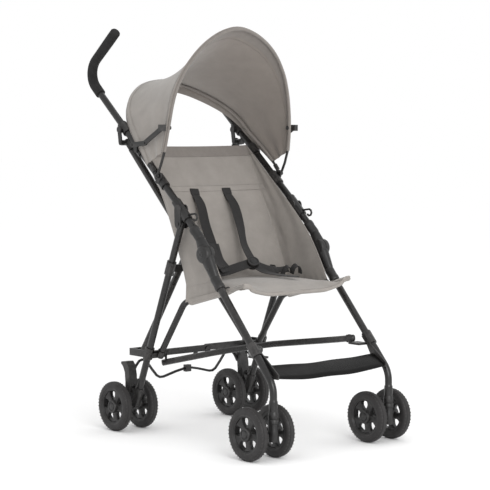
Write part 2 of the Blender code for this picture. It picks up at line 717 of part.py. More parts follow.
def brake_pedal(word, side):
    """Brake pedal with the fixed outer end of the brake rod."""
    x = side * SIDE_X
    y, z = PEDAL_PIVOT
    outline = [(y + across, z + up) for across, up in PEDAL_OUTLINE]
    body = plate(outline, x - PEDAL_HALF_W, x + PEDAL_HALF_W)
    rod_y = ROD_Y + side * ROD_LAP
    path = [at(side * 0.1790, rod_y, 0.146), at(side * 0.1700, rod_y, 0.162), at(side * 0.1590, rod_y, 0.1745),
            at(side * 0.1500, rod_y, 0.1775), at(side * (ROD_PIVOT[0] + 0.0030), rod_y, 0.1768)]
    rod = tube(path, BRAKE_ROD_R, resolution=1)
    eye = cylinder(at(side * ROD_PIVOT[0], rod_y - 0.0040, ROD_PIVOT[1]),
                   at(side * ROD_PIVOT[0], rod_y - 0.0006, ROD_PIVOT[1]), 0.0058)
    pin = cylinder(at(side * ROD_PIVOT[0], rod_y - 0.0030, ROD_PIVOT[1]),
                   at(side * ROD_PIVOT[0], rod_y + 0.0044, ROD_PIVOT[1]), 0.0020, sides=10)
    slot = box((x - PEDAL_LUG_HALF_W - FIT * 2.0, y - CENTRE_Y - 0.03, z - 0.02),
               (x + PEDAL_LUG_HALF_W + FIT * 2.0, y - CENTRE_Y + 0.03, z + 0.0165))
    piece = join(word + "_brake_pedal", "plastic", cut(body, slot), rod, eye, pin)
    clear = box((side * (ROD_PIVOT[0] - 0.0064), rod_y - CENTRE_Y - 0.0003, ROD_PIVOT[1] - 0.0064),
                (side * (ROD_PIVOT[0] + 0.0064), rod_y - CENTRE_Y + 0.0060, ROD_PIVOT[1] + 0.0064))
    pin_keep = cylinder(at(side * ROD_PIVOT[0], rod_y - 0.0030, ROD_PIVOT[1]),
                        at(side * ROD_PIVOT[0], rod_y + 0.0044, ROD_PIVOT[1]), 0.0020, sides=10)
    hole = cylinder(at(x - 0.02, PEDAL_PIVOT), at(x + 0.02, PEDAL_PIVOT), 0.0034 + PIN_FIT, sides=12)
    piece = cut(piece, clear, hole)
    return join(word + "_brake_pedal", "plastic", piece, pin_keep)


def brake_rod(word, side):
    """Inner half of the brake rod, with the clip at its end on the right-hand half."""
    rod_y = ROD_Y + side * ROD_LAP
    px, pz = ROD_PIVOT
    path = [at(side * x, rod_y, z) for x, z in ((px - 0.0062, pz - 0.0062),) + ROD_DIP]
    wire = tube(path, BRAKE_ROD_R, resolution=1)
    eye = cylinder(at(side * px, rod_y, pz), at(side * px, rod_y + 0.0036, pz), 0.0056)
    neck = cylinder(at(side * (px - 0.0020), rod_y + 0.0018, pz - 0.0020),
                    at(side * (px - 0.0085), rod_y + 0.0018, pz - 0.0085), 0.0018, sides=8)
    pieces = [wire, eye, neck]
    if side < 0:
        middle = rod_y - CENTRE_Y
        pieces.append(box((-0.0110, middle - 0.0085, 0.1340), (0.0060, middle + 0.0038, 0.1520)))
    piece = join(word + "_brake_rod", "frame", *pieces)
    ends = [at(side * px, rod_y + reach, pz) for reach in (-0.02, 0.02)]
    return cut(piece, cylinder(ends[0], ends[1], 0.0020 + PIN_FIT, sides=10))


def caster_fork(word, side):
    """Swivelling carrier of a pair of front wheels."""
    x = side * SIDE_X
    middle = side * FRONT_TRACK_HALF
    axle = (FRONT_AXLE_Y, WHEEL_R)
    low = (CASTER_Y, FORK_LOW_Z)
    post = cylinder(at(x, low), at(x, CASTER_Y, LEG_END_Z - FIT), SOCKET_R)
    pin_top = at(x, CASTER_Y, LEG_END_Z + KINGPIN_LEN)
    kingpin = cylinder(at(x, CASTER_Y, LEG_END_Z - 0.004), pin_top, KINGPIN_R)
    web = plate(oval((CASTER_Y, 0.0580), axle, 0.0105), x - 0.0080, x + 0.0080)
    bar = cylinder(at(middle - PAIR_HALF - 0.0090, axle), at(middle + PAIR_HALF + 0.0090, axle), AXLE_R)
    reach = PAIR_HALF - HUB_HALF_W - 0.0006
    spacer = cylinder(at(middle - reach, axle), at(middle + reach, axle), SPACER_R)
    return join(word + "_caster_fork", "plastic", post, kingpin, web, spacer, bar)


def wheel(name, x, y, outward):
    """One small wheel: a rounded tyre, five broad spokes and a hub closed on its outside."""
    centre = at(x, y, WHEEL_R)
    profile = [(-TYRE_HALF_W, 0.0470), (-TYRE_HALF_W, 0.0575), (-0.0055, WHEEL_R), (0.0055, WHEEL_R),
               (TYRE_HALF_W, 0.0575), (TYRE_HALF_W, 0.0470), (0.0, RIM_R)]
    pieces = [turned(profile, centre, 16)]
    pieces.append(cylinder(at(x - HUB_HALF_W, y, WHEEL_R), at(x + HUB_HALF_W, y, WHEEL_R), HUB_R))
    for i in range(SPOKES):
        turn = Matrix.Rotation(math.radians(26.0 + 360.0 * i / SPOKES), 4, "X")
        pieces.append(box((-SPOKE_HALF_T, -SPOKE_HALF_W, 0.0100), (SPOKE_HALF_T, SPOKE_HALF_W, RIM_R + 0.0040),
                          matrix=Matrix.Translation(centre) @ turn))
    piece = join(name, "wheel", *pieces)
    inner = x - outward * 0.02
    blind = x + outward * (0.0090 + 0.0005)
    return cut(piece, cylinder(at(inner, y, WHEEL_R), at(blind, y, WHEEL_R), AXLE_R + PIN_FIT, sides=12))


def front_bracket(word, side):
    """Collar on the front leg with the floor tube's rest and the footrest's side plate."""
    x = side * SIDE_X
    collar = cylinder(at(x, front_leg_point(0.266)), at(x, front_leg_point(0.240)), SLEEVE_R)
    levels = UPPER_FLOOR_Z if side > 0 else LOWER_FLOOR_Z
    start, tip = floor_chord(-side)
    slope = (levels[-1][1] - levels[-2][1]) / ((levels[-1][0] - levels[-2][0]) * (tip - start).length)
    wide = FLOOR_R if side > 0 else FLOOR_R + 0.0016
    top = levels[-1][1] - wide - 0.0006 - slope * 0.0180
    shelf = box((side * 0.1480, FLOOR_TIP_Y - CENTRE_Y - 0.026, top - 0.005),
                (side * 0.1790, FLOOR_TIP_Y - CENTRE_Y + 0.012, top))
    gusset = plate([front_leg_point(0.262, 0.006), front_leg_point(0.247, -0.004), (-0.2920, 0.2010),
                    (-0.2900, 0.1900), (-0.2760, 0.1900), (-0.2390, 0.2140), (-0.2240, 0.2380)],
                   side * 0.1734, side * 0.1772)
    piece = join(word + "_front_bracket", "plastic", collar, shelf, gusset)
    return cut(piece, bore(at(x, front_leg_point(0.290)), at(x, front_leg_point(0.215)), FRONT_LEG_R))


def brace_frame():
    """Directions of the rear brace: across its plane, and down it."""
    down = Vector((0.0, BRACE_LOW[0] - BRACE_TOP[0], BRACE_LOW[1] - BRACE_TOP[1]))
    square = Vector((0.0, -down.z, down.y)).normalized()
    return square, down


def brace_ends(side):
    """Top and bottom of the brace tube whose top is on one side, in the tube's own plane."""
    square, down = brace_frame()
    shift = square * (side * BRACE_PLANE)
    top = at(side * SIDE_X, BRACE_TOP) + shift
    low = at(-side * BRACE_LOW_X, BRACE_LOW) + shift
    return top, low


def upper_bracket(word, side):
    """Bracket on the push tube that carries the top of the rear brace."""
    x = side * SIDE_X
    sleeve = cylinder(at(x, push_point(0.280)), at(x, push_point(0.306)), SLEEVE_R)
    saddle_at = push_point(0.2935, -0.0040)
    saddle = cylinder(at(x - 0.0177, saddle_at), at(x + 0.0177, saddle_at), 0.0088, sides=12)
    cheeks = []
    for face in (-1, 1):
        cheeks.append(plate(oval(saddle_at, BRACE_TOP, CHEEK_R), x + face * 0.0138, x + face * 0.0172))
    pin = cylinder(at(x - 0.0182, BRACE_TOP), at(x + 0.0182, BRACE_TOP), BRACE_PIN_R)
    piece = join(word + "_upper_bracket", "plastic", sleeve, saddle, *cheeks, pin)
    return cut(piece, bore(at(x, push_point(0.25)), at(x, push_point(0.33)), PUSH_R))


def brace_socket(word, side):
    """Turning block between the upper bracket and the top of a brace tube."""
    x = side * SIDE_X
    square, down = brace_frame()
    outward = square * side
    middle = at(x, BRACE_TOP)
    barrel = cylinder(at(x - 0.0132, BRACE_TOP), at(x + 0.0132, BRACE_TOP), BARREL_R)
    near = BRACE_PLANE - TONGUE_HALF_T - 0.0004
    far = BRACE_PLANE + TONGUE_HALF_T + 0.0004
    collar = cylinder(middle, middle + outward * near, 0.0058)
    stud = cylinder(middle, middle + outward * (far + 0.0022), 0.0028)
    head_r = 0.0056 if side < 0 else 0.0100
    head = cylinder(middle + outward * far, middle + outward * (far + 0.0022), head_r, sides=14)
    pieces = [barrel, collar, stud, head]
    if side > 0:
        pieces.append(cylinder(middle, middle - outward * BALANCE_REACH, BALANCE_R, sides=14))
    piece = join(word + "_brace_socket", "plastic", *pieces)
    hole = cylinder(at(x - 0.03, BRACE_TOP), at(x + 0.03, BRACE_TOP), BRACE_PIN_R + PIN_FIT, sides=12)
    return cut(piece, hole)


def brace_tube(word, side):
    """Tube of the rear cross-brace, with a flat tongue at its top."""
    square, down = brace_frame()
    top, low = brace_ends(side)
    way = (low - top).normalized()
    bar = cylinder(top + way * 0.0200, low, BRACE_R, sides=12)
    radius = TONGUE_R if side < 0 else OPEN_TONGUE_R
    disc = cylinder(top - square * TONGUE_HALF_T, top + square * TONGUE_HALF_T, radius, sides=16)
    across = square.cross(way).normalized()
    turn = Matrix((way, across, square)).transposed().to_4x4()
    strip = box((0.0, -0.0080, -TONGUE_HALF_T), (0.026, 0.0080, TONGUE_HALF_T),
                matrix=Matrix.Translation(top) @ turn)
    pieces = [bar, disc, strip]
    share = SIDE_X / (SIDE_X + BRACE_LOW_X)
    centre = top.lerp(low, share)
    if side < 0:
        far = 2.0 * BRACE_PLANE + BRACE_R + 0.0005
        pieces.append(cylinder(centre, centre + square * (far + 0.0020), BRACE_PIN_R))
        pieces.append(cylinder(centre + square * far, centre + square * (far + 0.0020), 0.0062, sides=12))
        pieces.append(cylinder(centre, centre - square * (BRACE_R + 0.0020), 0.0062, sides=12))
    piece = join(word + "_brace_tube", "frame", *pieces)
    hole = 0.0028 + PIN_FIT if side < 0 else OPEN_HOLE_R
    cutters = [cylinder(top - square * 0.0065, top + square * 0.0065, hole, sides=16)]
    if side > 0:
        cutters.append(cylinder(centre - square * 0.02, centre + square * 0.02, BRACE_PIN_R + PIN_FIT,
                                sides=12))
    return cut(piece, *cutters)


def canopy_pivot(word, side):
    """Bracket on the push tube for the feet of both canopy bows."""
    x = side * SIDE_X
    sleeve = cylinder(at(x, push_point(0.122)), at(x, push_point(0.152)), SLEEVE_R)
    lug = plate(oval(push_point(0.140), BOW_PIVOT, 0.0085), side * 0.1960, side * 0.2008)
    pin = cylinder(at(side * 0.1975, BOW_PIVOT), at(side * 0.2092, BOW_PIVOT), 0.0028, sides=12)
    foot = [Vector((side * p[0], p[1] - CENTRE_Y, p[2])) for p in REAR_BOW[:2]]
    way = (foot[1] - foot[0]).normalized()
    cup = cylinder(foot[0] - way * 0.0020, foot[0] + way * 0.0140, 0.0056)
    root = cylinder(at(side * 0.1985, push_point(0.146)), foot[0], 0.0035, sides=8)
    piece = join(word + "_canopy_pivot", "plastic", sleeve, lug, pin, root, cup)
    return cut(piece, bore(at(x, push_point(0.10)), at(x, push_point(0.18)), PUSH_R),
               bore(foot[0] - way * FIT, foot[0] + way * 0.05, BOW_R))


def stay_clamp(word, side):
    """Clamp on the push tube that carries the canopy stay."""
    x = side * SIDE_X
    sleeve = cylinder(at(x, push_point(0.216)), at(x, push_point(0.238)), SLEEVE_R)
    lug = plate(oval(push_point(0.228), STAY_CLAMP, 0.0070), side * 0.1965, side * 0.2040)
    pin = cylinder(at(side * 0.2000, STAY_CLAMP), at(side * (STAY_X + STAY_T + 0.0012), STAY_CLAMP), 0.0026)
    piece = join(word + "_stay_clamp", "plastic", sleeve, lug, pin)
    return cut(piece, bore(at(x, push_point(0.19)), at(x, push_point(0.26)), PUSH_R))


def stay_link(word, side, name, start, end, low, end_piece):
    """One flat link of a canopy stay, with a hole at its start and a piece joined on at its end."""
    bar = plate(oval(start, end, 0.0062, 4), side * low, side * (low + STAY_T))
    piece = join(word + name, "plastic", bar, end_piece)
    return cut(piece, cylinder(at(side * 0.19, start), at(side * 0.24, start), 0.0026 + PIN_FIT, sides=12))


def canopy_stay(word, side):
    """Folding stay between the push tube and the front bow: two flat links, the front one with a block."""
    front = STAY_X + STAY_T + 0.0004
    pin = cylinder(at(side * STAY_X, STAY_ELBOW), at(side * (front + STAY_T + 0.0012), STAY_ELBOW), 0.0026)
    stay_link(word, side, "_stay_back", STAY_CLAMP, STAY_ELBOW, STAY_X, pin)
    y, z = STAY_BLOCK
    block = box((side * STAY_X, y - CENTRE_Y - 0.0090, z - 0.0080),
                (side * (STAY_X + 0.0110), y - CENTRE_Y + 0.0090, z + 0.0080))
    stay_link(word, side, "_stay_front", STAY_ELBOW, STAY_BLOCK, front, block)


def bow_points(points):
    """A bow's path over both sides from its left-hand points."""
    left = [Vector((x, y - CENTRE_Y, z)) for x, y, z in points]
    right = [Vector((-p.x, p.y, p.z)) for p in left[:-1]]
    return right + left[::-1]


def smooth(points, rounds=1):
    """A path with its corners cut, which keeps both ends."""
    for _ in range(rounds):
        path = [points[0]]
        for a, b in zip(points, points[1:]):
            path.append(a.lerp(b, 0.25))
            path.append(a.lerp(b, 0.75))
        path.append(points[-1])
        points = path
    return points


def resample(points, count):
    """Evenly spaced points along a path."""
    lengths = [0.0]
    for a, b in zip(points, points[1:]):
        lengths.append(lengths[-1] + (b - a).length)
    spaced = []
    for i in range(count):
        target = lengths[-1] * i / (count - 1)
        k = 0
        while k < len(points) - 2 and lengths[k + 1] < target:
            k += 1
        share = (target - lengths[k]) / max(lengths[k + 1] - lengths[k], 0.000001)
        spaced.append(points[k].lerp(points[k + 1], min(max(share, 0.0), 1.0)))
    return spaced


def bow_line(points, feet):
    """The part of a bow that the cloth follows, in even steps, above its lowest points."""
    return resample(smooth(bow_points(points)[feet:-feet], 2), CLOTH_COLUMNS)


def front_bow():
    """Front bow of the canopy, with an eye on each pivot and a stud inside each stay's block."""
    path = bow_points(FRONT_BOW)
    start = path[0].lerp(path[1], 0.16)
    end = path[-1].lerp(path[-2], 0.16)
    wire = tube([start, path[1]] + bow_line(FRONT_BOW, 2) + [path[-2], end], BOW_R, resolution=1)
    pieces = [wire]
    for side in (-1, 1):
        pieces.append(cylinder(at(side * 0.2016, BOW_PIVOT), at(side * 0.2076, BOW_PIVOT), 0.0054))
        pieces.append(cylinder(at(side * 0.1916, STAY_BLOCK), at(side * 0.1992, STAY_BLOCK), 0.0050, sides=10))
    piece = join("canopy_front_bow", "plastic", *pieces)
    holes = []
    for side in (-1, 1):
        holes.append(cylinder(at(side * 0.19, BOW_PIVOT), at(side * 0.22, BOW_PIVOT), 0.0028 + PIN_FIT, sides=12))
    return cut(piece, *holes)


def rear_bow():
    """Rear bow of the canopy, fixed in the canopy pivots."""
    path = bow_points(REAR_BOW)
    line = [path[0]] + bow_line(REAR_BOW, 1) + [path[-1]]
    return finished(tube(line, BOW_R, resolution=1), "canopy_rear_bow", "plastic")


def sheet(name, finish, grid, thickness):
    """A cloth of even thickness through a grid of points, closed round its rim."""
    rows, columns = len(grid), len(grid[0])
    bm = bmesh.new()
    spots = [[bm.verts.new(p) for p in row] for row in grid]
    for i in range(rows - 1):
        for j in range(columns - 1):
            bm.faces.new((spots[i][j], spots[i][j + 1], spots[i + 1][j + 1], spots[i + 1][j]))
    thing = mesh_from(bm, name + "_middle")
    thicken = thing.modifiers.new("thicken", "SOLIDIFY")
    thicken.thickness = thickness
    thicken.offset = 0.0
    return finished(bake(thing, name), name, finish)


def off_bow(line, other, j):
    """Unit way out of the canopy at one point of a bow, square to the bow and to the cloth on it."""
    way = line[min(j + 1, len(line) - 1)] - line[max(j - 1, 0)]
    out = way.cross(other[j] - line[j]).normalized()
    if out.dot(line[j] - at(0.0, CANOPY_MIDDLE)) < 0.0:
        return -out
    return out


def canopy_cloth():
    """Sun canopy: one cloth from the rear bow to the front bow, slack between them."""
    clear = BOW_R + CLOTH_T / 2.0 + 0.0010
    rear = bow_line(REAR_BOW, 1)
    front = bow_line(FRONT_BOW, 2)
    rows = 6
    grid = []
    for i in range(rows):
        share = i / (rows - 1)
        row = []
        for j in range(CLOTH_COLUMNS):
            across = 2.0 * j / (CLOTH_COLUMNS - 1) - 1.0
            sag = CANOPY_SAG * 4.0 * share * (1.0 - share) * (1.0 - abs(across) ** 3)
            out = off_bow(rear, front, j).lerp(off_bow(front, rear, j), share).normalized()
            row.append(rear[j].lerp(front[j], share) + out * clear - Vector((0.0, 0.0, sag)))
        grid.append(row)
    return sheet("canopy_cloth", "cloth", grid, CLOTH_T)


def seat_cloth():
    """Sling seat: the back with its side wings, and the base slung between the rails."""
    grid = []
    for edge, corner, middle in SEAT_STATIONS:
        half = []
        edge_x = SEAT_KNEE_X if edge[1] < 0.54 else SEAT_EDGE_X
        for share in (0.0, 0.22, 0.48, 0.74):
            half.append((edge_x - 0.0030 * share, *between(edge, corner, share)))
        turn = between(corner, middle, 0.18)
        half.append((0.1670, *corner))
        half.append((0.1570, *turn))
        for x, share in ((0.130, 0.45), (0.090, 0.75), (0.045, 0.94)):
            half.append((x, *between(corner, middle, share)))
        row = [Vector((-x, y - CENTRE_Y, z)) for x, y, z in half]
        row.append(at(0.0, middle))
        row += [Vector((x, y - CENTRE_Y, z)) for x, y, z in half[::-1]]
        grid.append(row)
    back = sheet("seat_back", "cloth", grid, SEAT_T)
    grid = []
    count = 6
    for i in range(count):
        y = BASE_BACK_Y + (BASE_FRONT_Y - BASE_BACK_Y) * i / (count - 1)
        share = (y - RAIL_BEND[0]) / (RAIL_FRONT[0] - RAIL_BEND[0])
        rail = between(RAIL_BEND, RAIL_FRONT, share)[1]
        low = rail - RAIL_R - 0.0036
        lift = 0.004 * math.sin(math.pi * i / (count - 1))
        half = [(0.1732, rail + 0.0020), (0.1728, rail - 0.0060), (0.1690, low + 0.0016), (0.1620, low),
                (0.1550, low + 0.0016), (0.1500, rail - 0.0050), (0.1490, rail + 0.0040),
                (0.1300, BASE_MID_Z - 0.006 + lift), (0.0900, BASE_MID_Z - 0.003 + lift),
                (0.0450, BASE_MID_Z + lift)]
        row = [at(-x, y, z) for x, z in half]
        row.append(at(0.0, y, BASE_MID_Z + lift))
        row += [at(x, y, z) for x, z in half[::-1]]
        grid.append(row)
    base = sheet("seat_base", "cloth", grid, SEAT_T)
    grid = []
    joint = SEAT_STATIONS[-1][2]
    for y, z in ((joint[0] + 0.0040, joint[1] + 0.0040), (joint[0] - 0.0080, BASE_MID_Z + 0.0010),
                 (BASE_BACK_Y - 0.0060, BASE_MID_Z - 0.0010)):
        grid.append([at(x, y, z - 0.30 * x * x) for x in (-0.120, -0.060, 0.0, 0.060, 0.120)])
    bridge = sheet("seat_bridge", "cloth", grid, SEAT_T + 0.0016)
    return join("seat_cloth", "cloth", back, bridge, base)


def footrest():
    """Narrow glossy strap between the front legs, for the child's feet."""
    grid = []
    for i in range(5):
        share = i / 4.0
        y, z = between(FOOT_BACK, FOOT_FRONT, share)
        row = []
        for j in range(13):
            across = 2.0 * j / 12.0 - 1.0
            row.append(at(across * FOOT_HALF_W, y, z - FOOT_SAG * (1.0 - across * across)))
        grid.append(row)
    return sheet("footrest", "webbing", grid, FOOT_T)


def strap(points, half_width, across):
    """A flat ribbon along a path, as a grid of points."""
    grid = []
    for point in points:
        grid.append([point - across * half_width, point, point + across * half_width])
    return grid


def harness():
    """Shoulder straps, lap straps and buckle, laid on the seat."""
    sideways = Vector((1.0, 0.0, 0.0))
    tilted = Vector((0.0, 0.6, 0.8))
    paths = [
        ([(-0.053, 0.1745, 0.6065), (-0.060, 0.1420, 0.580), (-0.075, 0.1050, 0.532), (-0.083, 0.0720, 0.490),
          (-0.085, 0.0480, 0.448), (-0.078, 0.0200, 0.418)], STRAP_HALF_W, sideways),
        ([(0.053, 0.1745, 0.6065), (0.047, 0.1370, 0.575), (0.037, 0.1020, 0.525), (0.026, 0.0720, 0.478),
          (0.008, 0.0180, 0.440)], STRAP_HALF_W, sideways),
        ([(0.140, 0.0350, 0.4130), (0.100, 0.0180, 0.4140), (0.050, 0.0080, 0.4200), (0.006, 0.0120, 0.4370)],
         0.0090, tilted),
        ([(-0.140, 0.0400, 0.4130), (-0.080, 0.0260, 0.4170), (-0.040, 0.0180, 0.4250), (0.000, 0.0130, 0.4370)],
         0.0090, tilted),
        ([(0.004, 0.0150, 0.4350), (0.024, -0.0100, 0.4150), (0.044, -0.0450, 0.4080), (0.061, -0.0900, 0.4055)],
         STRAP_HALF_W, sideways),
    ]
    pieces = [cylinder(at(0.006, 0.0210, 0.4290), at(0.002, 0.0080, 0.4430), 0.0165, sides=16)]
    for spots, half, across in paths:
        line = [at(*p) for p in spots]
        pieces.append(sheet("strap", "webbing", strap(line, half, across), STRAP_T))
    return join("harness", "webbing", *pieces)


def build_side(word, side):
    """Every piece of one side frame, its legs and its half of the folding members."""
    push_tube(word, side)
    handle_grip(word, side)
    knee(word, side)
    front_leg(word, side)
    front_bracket(word, side)
    leg_bracket(word, side)
    rear_leg(word, side)
    leg_sleeve(word, side)
    lower_bracket(word, side)
    seat_rail(word, side)
    rear_foot(word, side)
    brake_pedal(word, side)
    brake_rod(word, side)
    lock_bar(word, side)
    floor_tube(word, side)
    upper_bracket(word, side)
    brace_socket(word, side)
    brace_tube(word, side)
    canopy_pivot(word, side)
    stay_clamp(word, side)
    canopy_stay(word, side)
    caster_fork(word, side)
    for end, track, y in (("front", FRONT_TRACK_HALF, FRONT_AXLE_Y), ("rear", REAR_TRACK_HALF, REAR_AXLE_Y)):
        wheel(word + "_" + end + "_outer_wheel", side * (track + PAIR_HALF), y, side)
        wheel(word + "_" + end + "_inner_wheel", side * (track - PAIR_HALF), y, -side)


def pivot_on(name, point):
    """Put a piece's origin on its joint's axis, with the piece left where it is."""
    thing = bpy.data.objects[name]
    thing.data.transform(Matrix.Translation(-point))
    thing.location = point


def set_pivots(word, side):
    """Origins of the moving pieces of one side."""
    x = side * SIDE_X
    for name in ("rear_leg", "leg_sleeve", "lower_bracket", "seat_rail", "rear_foot"):
        pivot_on(word + "_" + name, at(x, LEG_PIVOT))
    pivot_on(word + "_lock_bar", at(side * LOCK_X, rear_leg_point(BRACKET_Z)))
    pivot_on(word + "_floor_tube", at(side * FLOOR_X, FLOOR_REAR))
    pivot_on(word + "_brake_pedal", at(x, PEDAL_PIVOT))
    pivot_on(word + "_brake_rod", at(side * ROD_PIVOT[0], ROD_Y + side * ROD_LAP, ROD_PIVOT[1]))
    pivot_on(word + "_brace_socket", at(x, BRACE_TOP))
    pivot_on(word + "_stay_back", at(x, STAY_CLAMP))
    pivot_on(word + "_stay_front", at(x, STAY_ELBOW))
    pivot_on(word + "_caster_fork", at(x, CASTER_Y, LEG_END_Z))
    for end, track, y in (("front", FRONT_TRACK_HALF, FRONT_AXLE_Y), ("rear", REAR_TRACK_HALF, REAR_AXLE_Y)):
        pivot_on(word + "_" + end + "_outer_wheel", at(side * (track + PAIR_HALF), y, WHEEL_R))
        pivot_on(word + "_" + end + "_inner_wheel", at(side * (track - PAIR_HALF), y, WHEEL_R))


def main():
    clear_scene()
    for word, side in (("right", -1), ("left", 1)):
        build_side(word, side)
        set_pivots(word, side)
    top, low = brace_ends(1)
    pivot_on("right_brace_tube", at(-SIDE_X, BRACE_TOP))
    pivot_on("left_brace_tube", top.lerp(low, SIDE_X / (SIDE_X + BRACE_LOW_X)))
    rear_bow()
    front_bow()
    canopy_cloth()
    for name in ("canopy_front_bow", "canopy_cloth"):
        pivot_on(name, at(0.0, BOW_PIVOT))
    seat_cloth()
    footrest()
    harness()


main()
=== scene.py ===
# %% [markdown]
# # Umbrella pushchair with a sling seat and a two-bow canopy
#
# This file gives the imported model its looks. It loads the CAD frame, keeps the
# moulded parts whose shape is right, and puts finer tubes, knuckles, wheels,
# grips, cloth and straps in place of the plain ones. Everything is in metres.
# The pushchair faces -Y, and the child's right hand is on the -X side.

# %% Load the frame
import math

import bmesh
import bpy
from mathutils import Matrix, Vector


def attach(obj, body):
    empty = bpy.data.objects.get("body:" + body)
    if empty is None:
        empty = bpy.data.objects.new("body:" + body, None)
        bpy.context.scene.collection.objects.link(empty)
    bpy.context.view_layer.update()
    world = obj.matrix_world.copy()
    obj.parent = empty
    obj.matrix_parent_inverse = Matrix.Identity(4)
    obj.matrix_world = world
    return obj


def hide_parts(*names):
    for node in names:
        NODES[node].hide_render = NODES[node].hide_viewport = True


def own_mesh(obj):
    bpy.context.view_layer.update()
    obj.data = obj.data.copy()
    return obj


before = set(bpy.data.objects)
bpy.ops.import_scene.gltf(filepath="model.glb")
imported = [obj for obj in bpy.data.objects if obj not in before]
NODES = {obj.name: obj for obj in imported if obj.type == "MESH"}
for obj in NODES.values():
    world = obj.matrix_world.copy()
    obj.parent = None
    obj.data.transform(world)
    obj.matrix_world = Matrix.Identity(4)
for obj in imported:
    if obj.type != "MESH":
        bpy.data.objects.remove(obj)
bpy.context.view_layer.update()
print("CAD nodes:", len(NODES))

# %% [markdown]
# ## Sizes
# On the real object a few joints and tube radii fix the whole frame. They could
# be measured from the loaded meshes, but named numbers read better and are the
# same ones that the CAD model uses, so that finer pieces meet the ones that stay.
# Side views are (y, z) pairs, and CENTRE_Y is taken off every y.

# %% Sizes of the frame
CENTRE_Y = 0.0679
SIDE_X = 0.188
PUSH_R = 0.0088
LEG_R = 0.0086
RAIL_R = 0.0080
FLOOR_R = 0.0080
BOW_R = 0.0034
KNEE_TOP = (-0.013, 0.509)
PUSH_BEND = (0.083, 0.597)
GRIP_LOW = (0.398, 0.863)
GRIP_CORNER = (0.4627, 0.9188)
GRIP_TOP = (0.329, 1.0225)
GRIP_R = 0.0134
GRIP_BEND_R = 0.0455
PUSH_BEND_R = 0.12
PUSH_SHORT = 0.010          # how far the tube stops inside the end of its grip
KNEE_LOW = (-0.074, 0.411)
LEG_BEND = (-0.287, 0.177)
LEG_BEND_R = 0.060
LEG_END_Z = 0.0995
SOCKET_TOP_Z = 0.141
SOCKET_R = 0.0106
LEG_PIVOT = (0.0585, 0.540)
REAR_LEG_END = (0.2465, 0.080)
LEG_OVER = 0.0070           # how far the rear leg reaches past its pivot
BRACKET_Z = 0.205
CASTER_Y = -0.287
RAIL_X = 0.162
RAIL_BEND = (0.080, 0.342)
RAIL_BEND_R = 0.045
RAIL_FRONT = (-0.092, 0.386)
RAIL_FORWARD = 0.0145
SIDES = (("right", -1), ("left", 1))
print("frame over its side tubes:", 2.0 * (SIDE_X + PUSH_R), "m")

# %% Sizes of the wheels
WHEEL_R = 0.0635
TYRE_HALF_W = 0.0120
HUB_R = 0.0165
SPOKES = 5
PAIR_HALF = 0.0410
TRACKS = (("front", 0.1925, -0.250), ("rear", 0.1890, 0.283))

# %% Sizes of the canopy
FRONT_BOW = (
    (0.2050, 0.135, 0.657), (0.2046, 0.120, 0.684), (0.2032, 0.107, 0.716),
    (0.1990, 0.095, 0.776), (0.1900, 0.089, 0.840), (0.1800, 0.084, 0.876),
    (0.1665, 0.078, 0.908), (0.1500, 0.073, 0.934), (0.1300, 0.068, 0.960),
    (0.1000, 0.064, 0.987), (0.0560, 0.062, 1.013), (0.0, 0.061, 1.0275),
)
REAR_BOW = (
    (0.2035, 0.148, 0.668), (0.2030, 0.166, 0.688), (0.1960, 0.196, 0.722),
    (0.1870, 0.238, 0.758), (0.1790, 0.282, 0.806), (0.1560, 0.318, 0.838),
    (0.1210, 0.347, 0.864), (0.0700, 0.374, 0.889), (0.0, 0.386, 0.901),
)
CANOPY_MIDDLE = (0.200, 0.720)
CANOPY_SAG = 0.030
CLOTH_T = 0.0016
FLAP = 0.021                # how far the cloth hangs behind the rear bow

# %% Sizes of the seat, as (y, z) where it leaves the frame, at its corner and in its middle
SEAT_EDGE_X = 0.1736
SEAT_KNEE_X = 0.1705
SEAT_T = 0.0018
SEAT_STATIONS = (
    ((0.2400, 0.7300), (0.2420, 0.7290), (0.2440, 0.7270)),
    ((0.1960, 0.6930), (0.2160, 0.6850), (0.2220, 0.6840)),
    ((0.1420, 0.6470), (0.1880, 0.6400), (0.1970, 0.6380)),
    ((0.0950, 0.6070), (0.1640, 0.6000), (0.1740, 0.5980)),
    ((0.0480, 0.5650), (0.1370, 0.5520), (0.1460, 0.5500)),
    ((0.0050, 0.5260), (0.1120, 0.5050), (0.1200, 0.5020)),
    ((-0.0250, 0.4900), (0.0940, 0.4650), (0.1000, 0.4600)),
    ((-0.0500, 0.4520), (0.0780, 0.4260), (0.0830, 0.4220)),
    ((-0.0740, 0.4110), (0.0640, 0.3820), (0.0660, 0.4040)),
)
BASE_BACK_Y = 0.050
BASE_FRONT_Y = -0.160
BASE_MID_Z = 0.3960
FOOT_HALF_W = 0.1730
FOOT_FRONT = (-0.286, 0.1965)
FOOT_BACK = (-0.246, 0.2185)
FOOT_SAG = 0.005

# %% [markdown]
# ## Camera
# The photograph is taken from the right-hand front corner, a little above the
# seat. A short lens close by would make the near wheels look large, so the camera
# stands far off with a long lens, as in a studio. The same view lets the render be
# laid beside the photograph.

# %% Camera
LENS_MM = 126.6
SENSOR_MM = 36.0
CAMERA_PLACE = (-2.797, -3.3549, 0.775)
CAMERA_DOWN = 3.877         # degrees below level
CAMERA_TURN = -40.06        # degrees round from straight ahead along +Y
camera_data = bpy.data.cameras.new("camera")
camera_data.lens = LENS_MM
camera_data.sensor_width = SENSOR_MM
camera = bpy.data.objects.new("camera", camera_data)
bpy.context.scene.collection.objects.link(camera)
camera.location = CAMERA_PLACE
camera.rotation_euler = (math.radians(90.0 - CAMERA_DOWN), 0.0, math.radians(CAMERA_TURN))
bpy.context.scene.camera = camera
print("camera at", tuple(round(c, 3) for c in camera.location))

